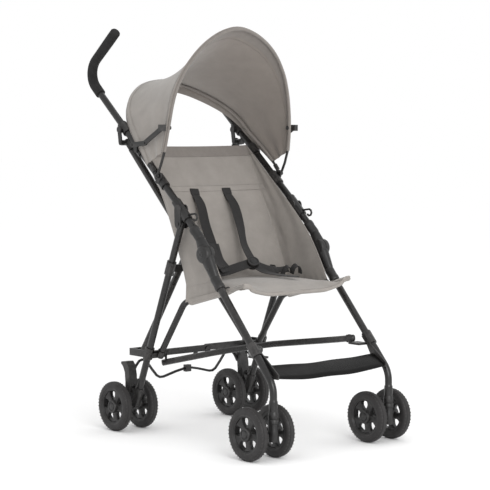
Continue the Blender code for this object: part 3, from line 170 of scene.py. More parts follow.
# %% [markdown]
# ## Materials
# The real surfaces are coated steel, moulded plastic, foam, and cloth woven from
# coarse and fine yarn. Photographs wrapped round the meshes could show them, but
# nodes that work from a point's own place need no image and stay sharp close up.
# So every finish is a base colour with slow variation, a fine grain or weave as
# bump, and varied roughness. A small function adds a node and links its inputs.


# %% Material helpers
def srgb(text):
    """Linear colour of a hex colour."""
    parts = [int(text[i:i + 2], 16) / 255.0 for i in (1, 3, 5)]
    line = [p / 12.92 if p <= 0.04045 else ((p + 0.055) / 1.055) ** 2.4 for p in parts]
    return (*line, 1.0)


def add(tree, kind, inputs=None, **settings):
    """A new node with its settings, where each input is given a value or a socket to link."""
    node = tree.nodes.new(kind)
    for key, value in settings.items():
        setattr(node, key, value)
    for key, value in (inputs or {}).items():
        if isinstance(value, bpy.types.NodeSocket):
            tree.links.new(value, node.inputs[key])
        else:
            node.inputs[key].default_value = value
    return node


def start_material(name, colour, roughness):
    """A Principled material with its even values on the shader's own sockets."""
    material = bpy.data.materials.new(name)
    material.use_nodes = True
    shader = material.node_tree.nodes["Principled BSDF"]
    shader.inputs["Base Color"].default_value = srgb(colour)
    shader.inputs["Roughness"].default_value = roughness
    shader.inputs["Metallic"].default_value = 0.0
    material.diffuse_color = srgb(colour)
    return material, material.node_tree, shader


def per_metre(millimetres):
    """How often a pattern of some size in millimetres repeats in a metre."""
    return 1000.0 / millimetres


def patches(tree, where, size, detail, spread, values, roughness=0.5):
    """Soft patches of noise of a size in mm, with one spread of its values turned into another."""
    spots = add(tree, "ShaderNodeTexNoise", {"Vector": where, "Scale": per_metre(size),
                                             "Detail": detail, "Roughness": roughness})
    return add(tree, "ShaderNodeMapRange",
               {"Value": spots.outputs[0], "From Min": spread[0], "From Max": spread[1],
                "To Min": values[0], "To Max": values[1]}).outputs[0]


def layered(tree, shader, base, *layers):
    """A base colour with further (factor, colour) layers over it, linked to the shader."""
    colour = srgb(base)
    for factor, upper in layers:
        colour = add(tree, "ShaderNodeMix", {0: factor, 6: colour, 7: srgb(upper)},
                     data_type="RGBA").outputs[2]
    tree.links.new(colour, shader.inputs["Base Color"])


# %% Hard finishes
WORN = "#6b6866"            # colour of scuffed edges
MOTTLE_MM = 29.41           # patches of a slightly lighter colour
SCUFF_MM = 8.333
SHINE_MM = 13.33            # duller and shinier spots


def hard_finish(name, colour, light, roughness, grain, depth, wear):
    """Coated, moulded or foamed surface: mottling, a grain of a size in mm and paler worn edges."""
    material, tree, shader = start_material(name, colour, roughness)
    where = add(tree, "ShaderNodeTexCoord").outputs["Object"]
    mottled = patches(tree, where, MOTTLE_MM, 3.0, (0.3, 0.7), (0.0, 0.55))
    scuffs = patches(tree, where, SCUFF_MM, 4.0, (0.35, 0.65), (0.2, 1.0))
    rough = patches(tree, where, SHINE_MM, 4.0, (0.3, 0.7), (roughness - 0.07, roughness + 0.09))
    edges = add(tree, "ShaderNodeNewGeometry").outputs["Pointiness"]
    worn = add(tree, "ShaderNodeMapRange", {"Value": edges, "From Min": 0.53, "From Max": 0.62,
                                            "To Min": 0.0, "To Max": wear}).outputs[0]
    scuffed = add(tree, "ShaderNodeMath", {0: worn, 1: scuffs}, operation="MULTIPLY").outputs[0]
    layered(tree, shader, colour, (mottled, light), (scuffed, WORN))
    tree.links.new(rough, shader.inputs["Roughness"])
    pores = add(tree, "ShaderNodeTexNoise", {"Vector": where, "Scale": per_metre(grain),
                                             "Detail": 3.0, "Roughness": 0.6})
    bump = add(tree, "ShaderNodeBump",
               {"Strength": 0.45, "Distance": depth, "Height": pores.outputs[0]})
    tree.links.new(bump.outputs[0], shader.inputs["Normal"])
    return material


# Powder-coated steel: near black and half shiny, with a fine orange peel of 0.7 mm.
FRAME = hard_finish("coated_steel", "#0f0e0e", "#161515", 0.30, 0.6667, 0.00012, 0.25)
# Moulded nylon: a duller black, with a spark-eroded grain of 1 mm and greyer edges.
PLASTIC = hard_finish("moulded_plastic", "#111010", "#181717", 0.42, 1.111, 0.00022, 0.25)
# The same plastic on small clips and blocks, a little darker.
BLACK = hard_finish("black_plastic", "#0b0a0a", "#131212", 0.40, 1.111, 0.0002, 0.2)
# Foam rubber: quite matt, so that it shows no highlight, with open pores of 1.5 mm.
FOAM = hard_finish("foam_grip", "#131212", "#1c1b1b", 0.88, 1.538, 0.0006, 0.1)
# Foamed tyre: a lighter, matt black with a skin that is uneven over 2.5 mm.
RUBBER = hard_finish("tyre_rubber", "#1f1d1d", "#292727", 0.60, 2.381, 0.0004, 0.2)
# Moulded wheel: black with a soft sheen that shows its round edges.
RIM = hard_finish("wheel_plastic", "#141313", "#1c1a1a", 0.40, 1.25, 0.0002, 0.25)
print("hard finishes: 6")

# %% [markdown]
# ## Cloth and webbing
# The cloth is a plain weave, and the straps are a coarser one. Real threads could
# be modelled, but there would be millions of them. Two crossed wave patterns, laid
# on UVs in metres, give the same rows of threads. Their real spacing is about half
# a millimetre, too fine to show, so they are drawn about twice as coarse.


# %% Cloth finishes
WAVE_MM = 314.0             # a wave pattern of scale 1 repeats every 314 mm
FIBRE_MM = 1.111
DENT_MM = 38.46


def weave(name, colour, light, roughness, thread, gap="#4e4a46", sheen=0.25, mottle=41.67):
    """Woven cloth on UVs in metres, with its threads and its soft mottling of a size in mm."""
    material, tree, shader = start_material(name, colour, roughness)
    coordinates = add(tree, "ShaderNodeTexCoord").outputs
    flat, place = coordinates["UV"], coordinates["Object"]
    threads = [add(tree, "ShaderNodeTexWave",
                   {"Vector": flat, "Scale": WAVE_MM / thread, "Distortion": 0.6, "Detail": 1.0,
                    "Detail Scale": 2.0}, bands_direction=way).outputs["Fac"] for way in ("X", "Y")]
    crossing = add(tree, "ShaderNodeMath", {0: threads[0], 1: threads[1]},
                   operation="MULTIPLY").outputs[0]
    mottled = patches(tree, place, mottle, 4.0, (0.3, 0.7), (0.0, 0.8), 0.6)
    fibres = patches(tree, flat, FIBRE_MM, 2.0, (0.3, 0.7), (0.0, 0.35))
    gaps = add(tree, "ShaderNodeMapRange", {"Value": crossing, "From Min": 0.0, "From Max": 0.6,
                                            "To Min": 0.22, "To Max": 0.0}).outputs[0]
    layered(tree, shader, colour, (mottled, light), (fibres, light), (gaps, gap))
    rough = add(tree, "ShaderNodeMapRange",
                {"Value": crossing, "From Min": 0.0, "From Max": 1.0,
                 "To Min": min(roughness + 0.05, 1.0), "To Max": roughness - 0.05}).outputs[0]
    tree.links.new(rough, shader.inputs["Roughness"])
    shader.inputs["Sheen Weight"].default_value = sheen
    shader.inputs["Sheen Roughness"].default_value = 0.5
    # Slow dents lie under the bump of the threads.
    dents = add(tree, "ShaderNodeTexNoise", {"Vector": place, "Scale": per_metre(DENT_MM),
                                             "Detail": 2.0, "Roughness": 0.5})
    soft = add(tree, "ShaderNodeBump",
               {"Strength": 0.35, "Distance": 0.0022, "Height": dents.outputs[0]})
    bump = add(tree, "ShaderNodeBump", {"Strength": 0.25, "Distance": 0.0002, "Height": crossing,
                                        "Normal": soft.outputs[0]})
    tree.links.new(bump.outputs[0], shader.inputs["Normal"])
    return material


# Woven polyester: a warm grey with hardly any shine. Its copy for the canopy's inside is darker and
# browner, as painted shade under the canopy.
CLOTH = weave("grey_cloth", "#89847f", "#9b958f", 0.90, 0.9)
CLOTH_IN_SHADE = weave("grey_cloth_inside", "#7d756f", "#89827b", 0.92, 0.9)
# Binding tape along the edges: a coarser weave, one shade darker than the cloth.
HEM_CLOTH = weave("hem_tape", "#77716c", "#837d78", 0.88, 1.2, mottle=16.67)
# Nylon webbing: thick black yarn, with a trace of sheen on it.
WEBBING = weave("black_webbing", "#161515", "#201e1e", 0.80, 1.6, "#0c0b0b", 0.1, 12.5)
# Coated fabric of the footrest: smooth and black, so that it mirrors a little.
GLOSS = weave("glossy_strap", "#070707", "#0e0d0d", 0.26, 3.0, "#050505", 0.0, 71.43)
GLOSS.node_tree.nodes["Principled BSDF"].inputs["Specular IOR Level"].default_value = 0.14
# Polyester sewing thread, darker than the cloth so that the rows can be seen.
THREAD = weave("sewing_thread", "#6b6560", "#7a746e", 0.85, 0.6)
print("cloth finishes: 6")

# %% [markdown]
# ## Mesh helpers
# Almost everything on the pushchair is a tube, a turned shape or a sheet. Ready
# primitives with modifiers could give rough ones, but these small functions put
# each ring of points just where a size says. Each makes one mesh whose place is
# in its vertices, so that its object can stay at the origin.


# %% Points
def at(x, side_point, z=None):
    """A point in the model frame, from x and (y, z), or from x, y and z."""
    if z is None:
        return Vector((x, side_point[0] - CENTRE_Y, side_point[1]))
    return Vector((x, side_point - CENTRE_Y, z))


def between(start, end, share):
    """A point part of the way from one (y, z) point to another."""
    return (start[0] + (end[0] - start[0]) * share, start[1] + (end[1] - start[1]) * share)


def rounded(points, radius, steps=10):
    """Points of a path whose inner corners are arcs of the given radius."""
    path = [points[0]]
    for before, corner, after in zip(points, points[1:], points[2:]):
        back = (before - corner).normalized()
        ahead = (after - corner).normalized()
        half = back.angle(ahead) / 2.0
        reach = radius / math.tan(half)
        centre = corner + (back + ahead).normalized() * (radius / math.sin(half))
        start = (corner + back * reach - centre).normalized()
        end = (corner + ahead * reach - centre).normalized()
        for i in range(steps + 1):
            path.append(centre + start.slerp(end, i / steps) * radius)
    path.append(points[-1])
    return path


def curve_at(points, share):
    """Point of a smooth curve through points, at a share of its way."""
    spot = share * (len(points) - 1)
    k = min(int(spot), len(points) - 2)
    t = spot - k
    before, a = points[max(k - 1, 0)], points[k]
    b, after = points[k + 1], points[min(k + 2, len(points) - 1)]
    return (a * 2.0 + (b - before) * t + (before * 2.0 - a * 5.0 + b * 4.0 - after) * (t * t)
            + (a * 3.0 - before - b * 3.0 + after) * (t * t * t)) * 0.5


def arc(points):
    """Length of a path up to each of its points."""
    lengths = [0.0]
    for a, b in zip(points, points[1:]):
        lengths.append(lengths[-1] + (b - a).length)
    return lengths


def resample(points, count):
    """Evenly spaced points along a path."""
    lengths = arc(points)
    spaced = []
    k = 0
    for i in range(count):
        target = lengths[-1] * i / (count - 1)
        while k < len(points) - 2 and lengths[k + 1] < target:
            k += 1
        share = (target - lengths[k]) / max(lengths[k + 1] - lengths[k], 0.000001)
        spaced.append(points[k].lerp(points[k + 1], min(max(share, 0.0), 1.0)))
    return spaced


def leg_point(z):
    """The (y, z) point of the rear leg's axis at a height."""
    return between(LEG_PIVOT, REAR_LEG_END, (z - LEG_PIVOT[1]) / (REAR_LEG_END[1] - LEG_PIVOT[1]))


def rail_z(y):
    """The height of the seat rail's axis at a depth y, along its front part."""
    return between(RAIL_BEND, RAIL_FRONT, (y - RAIL_BEND[0]) / (RAIL_FRONT[0] - RAIL_BEND[0]))[1]


def leg_way():
    """Unit (y, z) direction down the rear leg."""
    return Vector((REAR_LEG_END[0] - LEG_PIVOT[0], REAR_LEG_END[1] - LEG_PIVOT[1])).normalized()


def push_point(y):
    """The (y, z) point of the push tube's axis at a depth y."""
    low, high = (KNEE_TOP, PUSH_BEND) if y < PUSH_BEND[0] else (PUSH_BEND, GRIP_LOW)
    return between(low, high, (y - low[0]) / (high[0] - low[0]))


# %% Meshes
def smooth(mesh):
    """Make every face of a mesh smooth."""
    mesh.polygons.foreach_set("use_smooth", [True] * len(mesh.polygons))


def sharpen(thing, degrees):
    """Keep the edges sharp that turn by more than some degrees."""
    thing.data.set_sharp_from_angle(angle=math.radians(degrees))


def placed(name, mesh=None):
    """A new object for a mesh, or for an empty one."""
    if mesh is None:
        mesh = bpy.data.meshes.new(name)
    thing = bpy.data.objects.new(name, mesh)
    bpy.context.scene.collection.objects.link(thing)
    return thing


def mesh_from(bm, name, material, outward=True):
    """A painted and smooth object from a bmesh."""
    if outward:
        bmesh.ops.recalc_face_normals(bm, faces=bm.faces[:])
    mesh = bpy.data.meshes.new(name)
    bm.to_mesh(mesh)
    bm.free()
    mesh.materials.append(material)
    smooth(mesh)
    return placed(name, mesh)


def baked(thing):
    """The object with its modifiers applied and its place put into its mesh."""
    bpy.context.view_layer.update()
    ready = thing.evaluated_get(bpy.context.evaluated_depsgraph_get())
    mesh = bpy.data.meshes.new_from_object(ready)
    mesh.transform(thing.matrix_world)
    name = thing.name
    bpy.data.objects.remove(thing, do_unlink=True)
    mesh.name = name
    smooth(mesh)
    return placed(name, mesh)


def ring(way, side, spot, radius, sides):
    """Points of a circle square to a way."""
    other = way.cross(side).normalized()
    turns = [2.0 * math.pi * i / sides for i in range(sides)]
    return [spot + (side * math.cos(turn) + other * math.sin(turn)) * radius for turn in turns]


def skin(bm, rings, capped=True):
    """Faces between rings of vertices, capped at both ends or closed into a loop."""
    sides = len(rings[0])
    for low, high in zip(rings, rings[1:] if capped else rings[1:] + rings[:1]):
        for i in range(sides):
            k = (i + 1) % sides
            bm.faces.new((low[i], low[k], high[k], high[i]))
    if capped:
        bm.faces.new(rings[0][::-1])
        bm.faces.new(rings[-1])


def swept(bm, points, radii, sides):
    """A round bar along a path, with a radius at each point, added to a bmesh."""
    way = (points[1] - points[0]).normalized()
    side = way.orthogonal().normalized()
    rings = []
    for i, point in enumerate(points):
        way = (points[min(i + 1, len(points) - 1)] - points[max(i - 1, 0)]).normalized()
        side = (side - way * side.dot(way)).normalized()
        rings.append([bm.verts.new(p) for p in ring(way, side, point, radii[i], sides)])
    skin(bm, rings)


def bar(bm, points, radius, sides=24, lip=0.0006):
    """A round bar of even radius whose ends are a little rounded."""
    start = (points[1] - points[0]).normalized()
    end = (points[-1] - points[-2]).normalized()
    path = [points[0], points[0] + start * lip, *points[1:-1], points[-1] - end * lip, points[-1]]
    swept(bm, path, [radius - lip] + [radius] * (len(path) - 2) + [radius - lip], sides)


def turned(bm, start, end, profile, sides):
    """A turned shape on the line from start to end: (share of the way, radius) points."""
    way = (end - start).normalized()
    side = way.orthogonal().normalized()
    skin(bm, [[bm.verts.new(p) for p in ring(way, side, start.lerp(end, share), radius, sides)]
              for share, radius in profile])


def collar(bm, start, end, radius):
    """A short sleeve with rounded rims."""
    lip = 0.0006
    rim = min(lip / (end - start).length, 0.4)
    turned(bm, start, end, ((0.0, radius - lip), (rim * 0.35, radius - lip * 0.3), (rim, radius),
                            (1.0 - rim, radius), (1.0 - rim * 0.35, radius - lip * 0.3),
                            (1.0, radius - lip)), sides=24)


print("mesh helpers ready")


# %% Cloth helpers
def finer(grid, rows, columns):
    """A finer grid of points on the smooth surface through a grid."""
    wide = [[curve_at(row, j / (columns - 1)) for j in range(columns)] for row in grid]
    tall = [[row[j] for row in wide] for j in range(columns)]
    return [[curve_at(tall[j], i / (rows - 1)) for j in range(columns)] for i in range(rows)]


def way_out(grid, i, j):
    """The cloth's normal at one point of its grid."""
    down = grid[min(i + 1, len(grid) - 1)][j] - grid[max(i - 1, 0)][j]
    across = grid[i][min(j + 1, len(grid[0]) - 1)] - grid[i][max(j - 1, 0)]
    return across.cross(down).normalized()


def ruffled(grid, rule):
    """The grid with each point moved along the cloth's normal by rule(row share, column share)."""
    rows, columns = len(grid), len(grid[0])
    return [[grid[i][j] + way_out(grid, i, j) * rule(i / (rows - 1), j / (columns - 1))
             for j in range(columns)] for i in range(rows)]


def band_of(grid, first, last, lift, low=0, high=None):
    """A strip over some rows and columns of a grid, lifted off it."""
    columns = range(low, len(grid[0]) if high is None else high)
    return [[grid[i][j] + way_out(grid, i, j) * lift for j in columns]
            for i in range(first, last + 1)]


def cell_normal(grid, i, j):
    """The normal of one cell of a grid, at its first corner."""
    return (grid[i][j + 1] - grid[i][j]).cross(grid[i + 1][j] - grid[i][j]).normalized()


def seam_line(grid, row, lift, low=0, high=None):
    """A line of points along one row of a grid, lifted off it."""
    columns = range(low, len(grid[0]) - 1 if high is None else high)
    return [grid[row][j] + cell_normal(grid, row, j) * lift for j in columns]


def cloth(name, grid, thickness, material, inside=None):
    """A cloth of even thickness through a grid, with UVs in metres."""
    rows, columns = len(grid), len(grid[0])
    bm = bmesh.new()
    layer = bm.loops.layers.uv.new("UVMap")
    spots = [[bm.verts.new(p) for p in row] for row in grid]
    across = [arc(row) for row in grid]
    down = arc([row[columns // 2] for row in grid])
    for i in range(rows - 1):
        for j in range(columns - 1):
            corners = ((i, j), (i, j + 1), (i + 1, j + 1), (i + 1, j))
            face = bm.faces.new([spots[a][b] for a, b in corners])
            for loop, (a, b) in zip(face.loops, corners):
                loop[layer].uv = (across[a][b], down[a])
    thing = mesh_from(bm, name, material, outward=False)
    thicken = thing.modifiers.new("thicken", "SOLIDIFY")
    thicken.thickness = thickness
    thicken.offset = 0.0
    if inside is not None:
        thing.data.materials.append(inside)
        thicken.material_offset = 1
    done = baked(thing)
    sharpen(done, 60.0)
    return done


def ribbon(name, points, half_width, across, material, thickness=0.0015, steps=48, crown=0.0006):
    """Flat webbing along a smooth path, a little crowned, with its edges rounded."""
    path = [curve_at(points, i / (steps - 1)) for i in range(steps)]
    sides = across if isinstance(across, list) else [across, across]
    grid = []
    for i, point in enumerate(path):
        way = (path[min(i + 1, steps - 1)] - path[max(i - 1, 0)]).normalized()
        side = curve_at(sides, i / (steps - 1))
        side = (side - way * side.dot(way)).normalized()
        up = side.cross(way).normalized()
        grid.append([point + side * half_width * s + up * crown * (1.0 - s * s)
                     for s in (-1, -0.6, -0.2, 0.2, 0.6, 1)])
    return cloth(name, grid, thickness, material), grid


def joined(name, *things):
    """Several objects as one mesh, each keeping its own materials."""
    materials = []
    bm = bmesh.new()
    for thing in things:
        slots = []
        for material in thing.data.materials:
            if material not in materials:
                materials.append(material)
            slots.append(materials.index(material))
        count = len(bm.faces)
        bm.from_mesh(thing.data)
        bm.faces.ensure_lookup_table()
        for face in bm.faces[count:]:
            face.material_index = slots[min(face.material_index, len(slots) - 1)]
    mesh = bpy.data.meshes.new(name)
    bm.to_mesh(mesh)
    bm.free()
    for material in materials:
        mesh.materials.append(material)
    for thing in things:
        bpy.data.objects.remove(thing, do_unlink=True)
    return placed(name, mesh)


def fold_with_sides(thing):
    """Give the piece its own copy of its mesh."""
    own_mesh(thing)


def soft_piece(thing, body):
    """A soft piece goes with a body and gets its own copy of its mesh."""
    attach(thing, body)
    fold_with_sides(thing)
    return thing


print("cloth helpers ready")

# %% [markdown]
# ## Geometry Nodes for what repeats
# Tread bars, spokes and stitches are one small shape many times over. An Array
# modifier could lay them out too, but a node group keeps its count or spacing as a
# named input and serves every wheel and every seam. Both groups end alike: the
# copies are made real and painted, since only real geometry is exported.


# %% Geometry Nodes groups
def copies_group(name, measure, kind):
    """A group that lays copies of an object on points, with its input node and its instancer."""
    group = bpy.data.node_groups.new(name, "GeometryNodeTree")
    for title, sort in (("Geometry", "Geometry"), ("Piece", "Object"), (measure, kind),
                        ("Material", "Material")):
        group.interface.new_socket(title, in_out="INPUT", socket_type="NodeSocket" + sort)
    group.interface.new_socket("Geometry", in_out="OUTPUT", socket_type="NodeSocketGeometry")
    start = add(group, "NodeGroupInput")
    piece = add(group, "GeometryNodeObjectInfo", {"Object": start.outputs["Piece"]})
    copies = add(group, "GeometryNodeInstanceOnPoints", {"Instance": piece.outputs["Geometry"]})
    real = add(group, "GeometryNodeRealizeInstances", {0: copies.outputs[0]})
    paint = add(group, "GeometryNodeSetMaterial",
                {"Geometry": real.outputs[0], "Material": start.outputs["Material"]})
    add(group, "NodeGroupOutput", {0: paint.outputs[0]})
    return group, start, copies


def ring_group():
    """Copies of an object round the x axis."""
    group, start, copies = copies_group("round_the_axle", "Count", "Int")
    count = start.outputs["Count"]
    step = add(group, "ShaderNodeMath", {0: 2.0 * math.pi, 1: count}, operation="DIVIDE")
    index = add(group, "GeometryNodeInputIndex")
    angle = add(group, "ShaderNodeMath", {0: index.outputs[0], 1: step.outputs[0]},
                operation="MULTIPLY")
    turn = add(group, "ShaderNodeCombineXYZ", {0: angle.outputs[0]})
    points = add(group, "GeometryNodePoints", {"Count": count})
    group.links.new(points.outputs[0], copies.inputs["Points"])
    group.links.new(turn.outputs[0], copies.inputs["Rotation"])
    return group


def row_group():
    """Copies of an object along a line of edges, in line with it."""
    group, start, copies = copies_group("along_the_seam", "Spacing", "Float")
    line = add(group, "GeometryNodeMeshToCurve", {0: start.outputs["Geometry"]})
    even = add(group, "GeometryNodeResampleCurve",
               {"Curve": line.outputs[0], "Length": start.outputs["Spacing"]}, mode="LENGTH")
    tangent = add(group, "GeometryNodeInputTangent")
    turn = add(group, "FunctionNodeAlignRotationToVector", {"Vector": tangent.outputs[0]}, axis="X")
    group.links.new(even.outputs[0], copies.inputs["Points"])
    group.links.new(turn.outputs[0], copies.inputs["Rotation"])
    return group


RING = ring_group()
ROW = row_group()


def repeat(base, group, piece, number, material):
    """The base object turned into the group's copies of a piece, which is then dropped."""
    modifier = base.modifiers.new("copies", "NODES")
    modifier.node_group = group
    for item in group.interface.items_tree:
        if item.in_out != "INPUT":
            continue
        if item.name == "Piece":
            modifier[item.identifier] = piece
        elif item.name in ("Count", "Spacing"):
            modifier[item.identifier] = number
        elif item.name == "Material":
            modifier[item.identifier] = material
    done = baked(base)
    bpy.data.objects.remove(piece, do_unlink=True)
    return done


STITCH_LENGTH = 0.0032
STITCH_PITCH = 0.0052
STITCH_R = 0.00045


def stitches(name, points, body):
    """A row of sewn stitches along a line of points, on the cloth that folds at an edge."""
    bm = bmesh.new()
    half = Vector((STITCH_LENGTH / 2.0, 0.0, 0.0))
    swept(bm, [-half, -half * 0.6, half * 0.6, half],
          [STITCH_R * 0.4, STITCH_R, STITCH_R, STITCH_R * 0.4], 6)
    piece = mesh_from(bm, name + "_one", THREAD)
    line = bmesh.new()
    spots = [line.verts.new(p) for p in points]
    for a, b in zip(spots, spots[1:]):
        line.edges.new((a, b))
    base = placed(name)
    line.to_mesh(base.data)
    line.free()
    return soft_piece(repeat(base, ROW, piece, STITCH_PITCH, THREAD), body)


print("Geometry Nodes groups: 2")

# %% [markdown]
# ## Carried-over mouldings
# The brackets, clamps, pedals, forks and links already have the right shape in the
# CAD model, so they are not built again. Their edges are too crisp for moulded
# plastic, though, and their round faces show flats. A Bevel modifier rounds the
# edges, a small node group smooths the faces, and each part gets its finish.

# %% Which finish each CAD node has
FINISH_OF = {
    "knee": PLASTIC, "front_bracket": PLASTIC, "leg_bracket": BLACK, "leg_sleeve": BLACK,
    "lower_bracket": BLACK, "rear_foot": PLASTIC, "brake_pedal": BLACK, "brake_rod": BLACK,
    "lock_bar": BLACK, "upper_bracket": BLACK, "brace_socket": BLACK, "canopy_pivot": BLACK,
    "stay_clamp": BLACK, "stay_back": BLACK, "stay_front": BLACK, "caster_fork": PLASTIC,
    "push_tube": FRAME, "front_leg": FRAME, "rear_leg": FRAME, "seat_rail": FRAME,
    "floor_tube": FRAME, "brace_tube": FRAME, "handle_grip": FOAM,
}


def smooth_group():
    """Smooth faces with the sharp edges kept, as a Geometry Nodes group."""
    group = bpy.data.node_groups.new("smooth_by_angle", "GeometryNodeTree")
    for way in ("INPUT", "OUTPUT"):
        group.interface.new_socket("Geometry", in_out=way, socket_type="NodeSocketGeometry")
    start = add(group, "NodeGroupInput")
    angle = add(group, "GeometryNodeInputMeshEdgeAngle")
    sharp = add(group, "FunctionNodeCompare",
                {"A": angle.outputs["Unsigned Angle"], "B": math.radians(40.0)},
                operation="GREATER_THAN")
    faces = add(group, "GeometryNodeSetShadeSmooth", {"Geometry": start.outputs[0]}, domain="FACE")
    edges = add(group, "GeometryNodeSetShadeSmooth",
                {"Geometry": faces.outputs[0], "Selection": sharp.outputs[0],
                 "Shade Smooth": False}, domain="EDGE")
    add(group, "NodeGroupOutput", {0: edges.outputs[0]})
    return group


def round_edges(thing, width, degrees):
    """Add a Bevel modifier that rounds the edges past some degrees."""
    bevel = thing.modifiers.new("edges", "BEVEL")
    bevel.width = width
    bevel.segments = 2
    bevel.limit_method = "ANGLE"
    bevel.angle_limit = math.radians(degrees)


SMOOTH = smooth_group()

# %% Paint and soften them
softened = 0
for name, node in NODES.items():
    kind = name.split("_", 1)[1] if name.startswith(("right_", "left_")) else name
    if kind not in FINISH_OF:
        continue
    node.data.materials.clear()
    node.data.materials.append(FINISH_OF[kind])
    round_edges(node, 0.0007, 42.0)
    node.modifiers.new("smooth", "NODES").node_group = SMOOTH
    softened += 1
print("carried-over mouldings:", softened)

# %% [markdown]
# ## Tubes and grips
# The frame is bent steel tube with foam pulled over its upper ends. A curve with a
# round bevel would do for a plain tube. Here a ring of points is swept along a path
# with its own radius at each step instead, because the grips swell a little and
# every end is rounded. They take the place of the CAD's tubes, which have flats.


# %% Straight and bent tubes
def fitted(bm, name, body, material, node=None):
    """Finish a hard piece: round faces, on its body, in place of a CAD node if one is given."""
    thing = mesh_from(bm, name, material)
    sharpen(thing, 38.0)
    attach(thing, body)
    if node:
        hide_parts(node)


def side_tubes(word, side):
    """Push tube, front leg, rear leg and seat rail of one side."""
    x = side * SIDE_X
    corner, end = at(x, GRIP_CORNER), at(x, GRIP_TOP)
    end -= (end - corner).normalized() * PUSH_SHORT
    bm = bmesh.new()
    bend = rounded([at(x, KNEE_TOP), at(x, PUSH_BEND), at(x, GRIP_LOW)], PUSH_BEND_R, 8)
    bar(bm, bend[:-1] + rounded([at(x, GRIP_LOW), corner, end], GRIP_BEND_R), PUSH_R)
    fitted(bm, word + "_push_tube_fine", word + "_frame", FRAME, word + "_push_tube")
    bm = bmesh.new()
    path = rounded([at(x, KNEE_LOW), at(x, LEG_BEND), at(x, CASTER_Y, LEG_END_Z)], LEG_BEND_R, 14)
    swept(bm, path, [PUSH_R] * len(path), 28)
    turned(bm, at(x, CASTER_Y, LEG_END_Z), at(x, CASTER_Y, SOCKET_TOP_Z + 0.003),
           ((0.0, SOCKET_R - 0.0008), (0.02, SOCKET_R), (0.82, SOCKET_R), (0.86, SOCKET_R - 0.0003),
            (0.9, SOCKET_R - 0.0002), (1.0, PUSH_R)), 32)
    fitted(bm, word + "_front_leg_fine", word + "_frame", FRAME, word + "_front_leg")
    bm = bmesh.new()
    top, low = at(x, LEG_PIVOT), at(x, REAR_LEG_END)
    top += (top - low).normalized() * LEG_OVER
    bar(bm, [low, at(x, leg_point(0.3)), top], LEG_R, 28, 0.0012)
    fitted(bm, word + "_rear_leg_fine", word + "_leg", FRAME, word + "_rear_leg")
    bm = bmesh.new()
    rail_x = side * RAIL_X
    down, spot = leg_way(), leg_point(BRACKET_Z)
    start = at(rail_x, (spot[0] + down.y * RAIL_FORWARD, spot[1] - down.x * RAIL_FORWARD))
    bar(bm, rounded([start, at(rail_x, RAIL_BEND), at(rail_x, RAIL_FRONT)], RAIL_BEND_R), RAIL_R)
    fitted(bm, word + "_seat_rail_fine", word + "_leg", FRAME, word + "_seat_rail")


# %% Foam grips
GRIP_STEPS = 46
GRIP_SWELL = 0.0003
# Rounded rims at the grip's start and end, as (way in from it, radius lost).
GRIP_LIP = ((0.0, 0.0030), (0.0006, 0.0014), (0.0018, 0.0003))
GRIP_END = ((0.0042, 0.0006), (0.0022, 0.0016), (0.0008, 0.0040), (0.0, 0.0080))


def grip(word, side):
    """Foam handle: a little fuller in the hand, with a rounded end and a lip at its start."""
    x = side * SIDE_X
    path = rounded([at(x, GRIP_LOW), at(x, GRIP_CORNER), at(x, GRIP_TOP)], GRIP_BEND_R, 12)
    path = resample(path, GRIP_STEPS)
    radii = [GRIP_R - 0.0004 + GRIP_SWELL * math.sin(i / (GRIP_STEPS - 1) * 9.0)
             for i in range(GRIP_STEPS)]
    start = (path[1] - path[0]).normalized()
    end = (path[-1] - path[-2]).normalized()
    bm = bmesh.new()
    swept(bm, [path[0] + start * d for d, _ in GRIP_LIP] + path[1:-1]
          + [path[-1] - end * d for d, _ in GRIP_END],
          [GRIP_R - lost for _, lost in GRIP_LIP] + radii[1:-1]
          + [GRIP_R - lost for _, lost in GRIP_END], 28)
    fitted(bm, word + "_grip_fine", word + "_frame", FOAM, word + "_handle_grip")


for word, side in SIDES:
    side_tubes(word, side)
    grip(word, side)
print("fine tubes: 8, grips: 2")

# %% [markdown]
# ## Knuckles
# At each knee a moulding joins the push tube to the front leg, with a flat disc on
# its side and two capped bolts. The CAD's knuckle is blocky, because it is cut from
# plain solids. Here it is a few turned shapes that run into each other, one of them
# flattened across, so that it swells and narrows as the real one does.

# %% Knuckle profiles, as (share of the way, radius)
KNUCKLE = ((-0.06, 0.0090), (0.02, 0.0128), (0.14, 0.0150), (0.30, 0.0180), (0.46, 0.0186),
           (0.60, 0.0172), (0.76, 0.0150), (0.92, 0.0130), (1.03, 0.0092))
KNUCKLE_FLAT = 0.80         # its width across as a share of its depth
DISC = ((0.0, 0.0180), (0.06, 0.0208), (0.14, 0.0220), (0.40, 0.0220), (0.44, 0.0206),
        (0.50, 0.0206), (0.54, 0.0220), (0.80, 0.0220), (0.90, 0.0208), (0.97, 0.0184),
        (1.0, 0.0150))
DISC_IN = 0.0130
DISC_OUT = 0.0164
TUBE_COLLAR = ((0.0, 0.0112), (0.10, 0.0122), (0.66, 0.0118), (0.70, 0.0127), (0.94, 0.0127),
               (1.0, 0.0116))
# The head of a bolt, with its radii as shares of the widest one.
BOLT = ((0.0, 1.0), (0.6, 1.0), (0.85, 0.90), (0.88, 0.55), (0.70, 0.50), (0.55, 0.30))


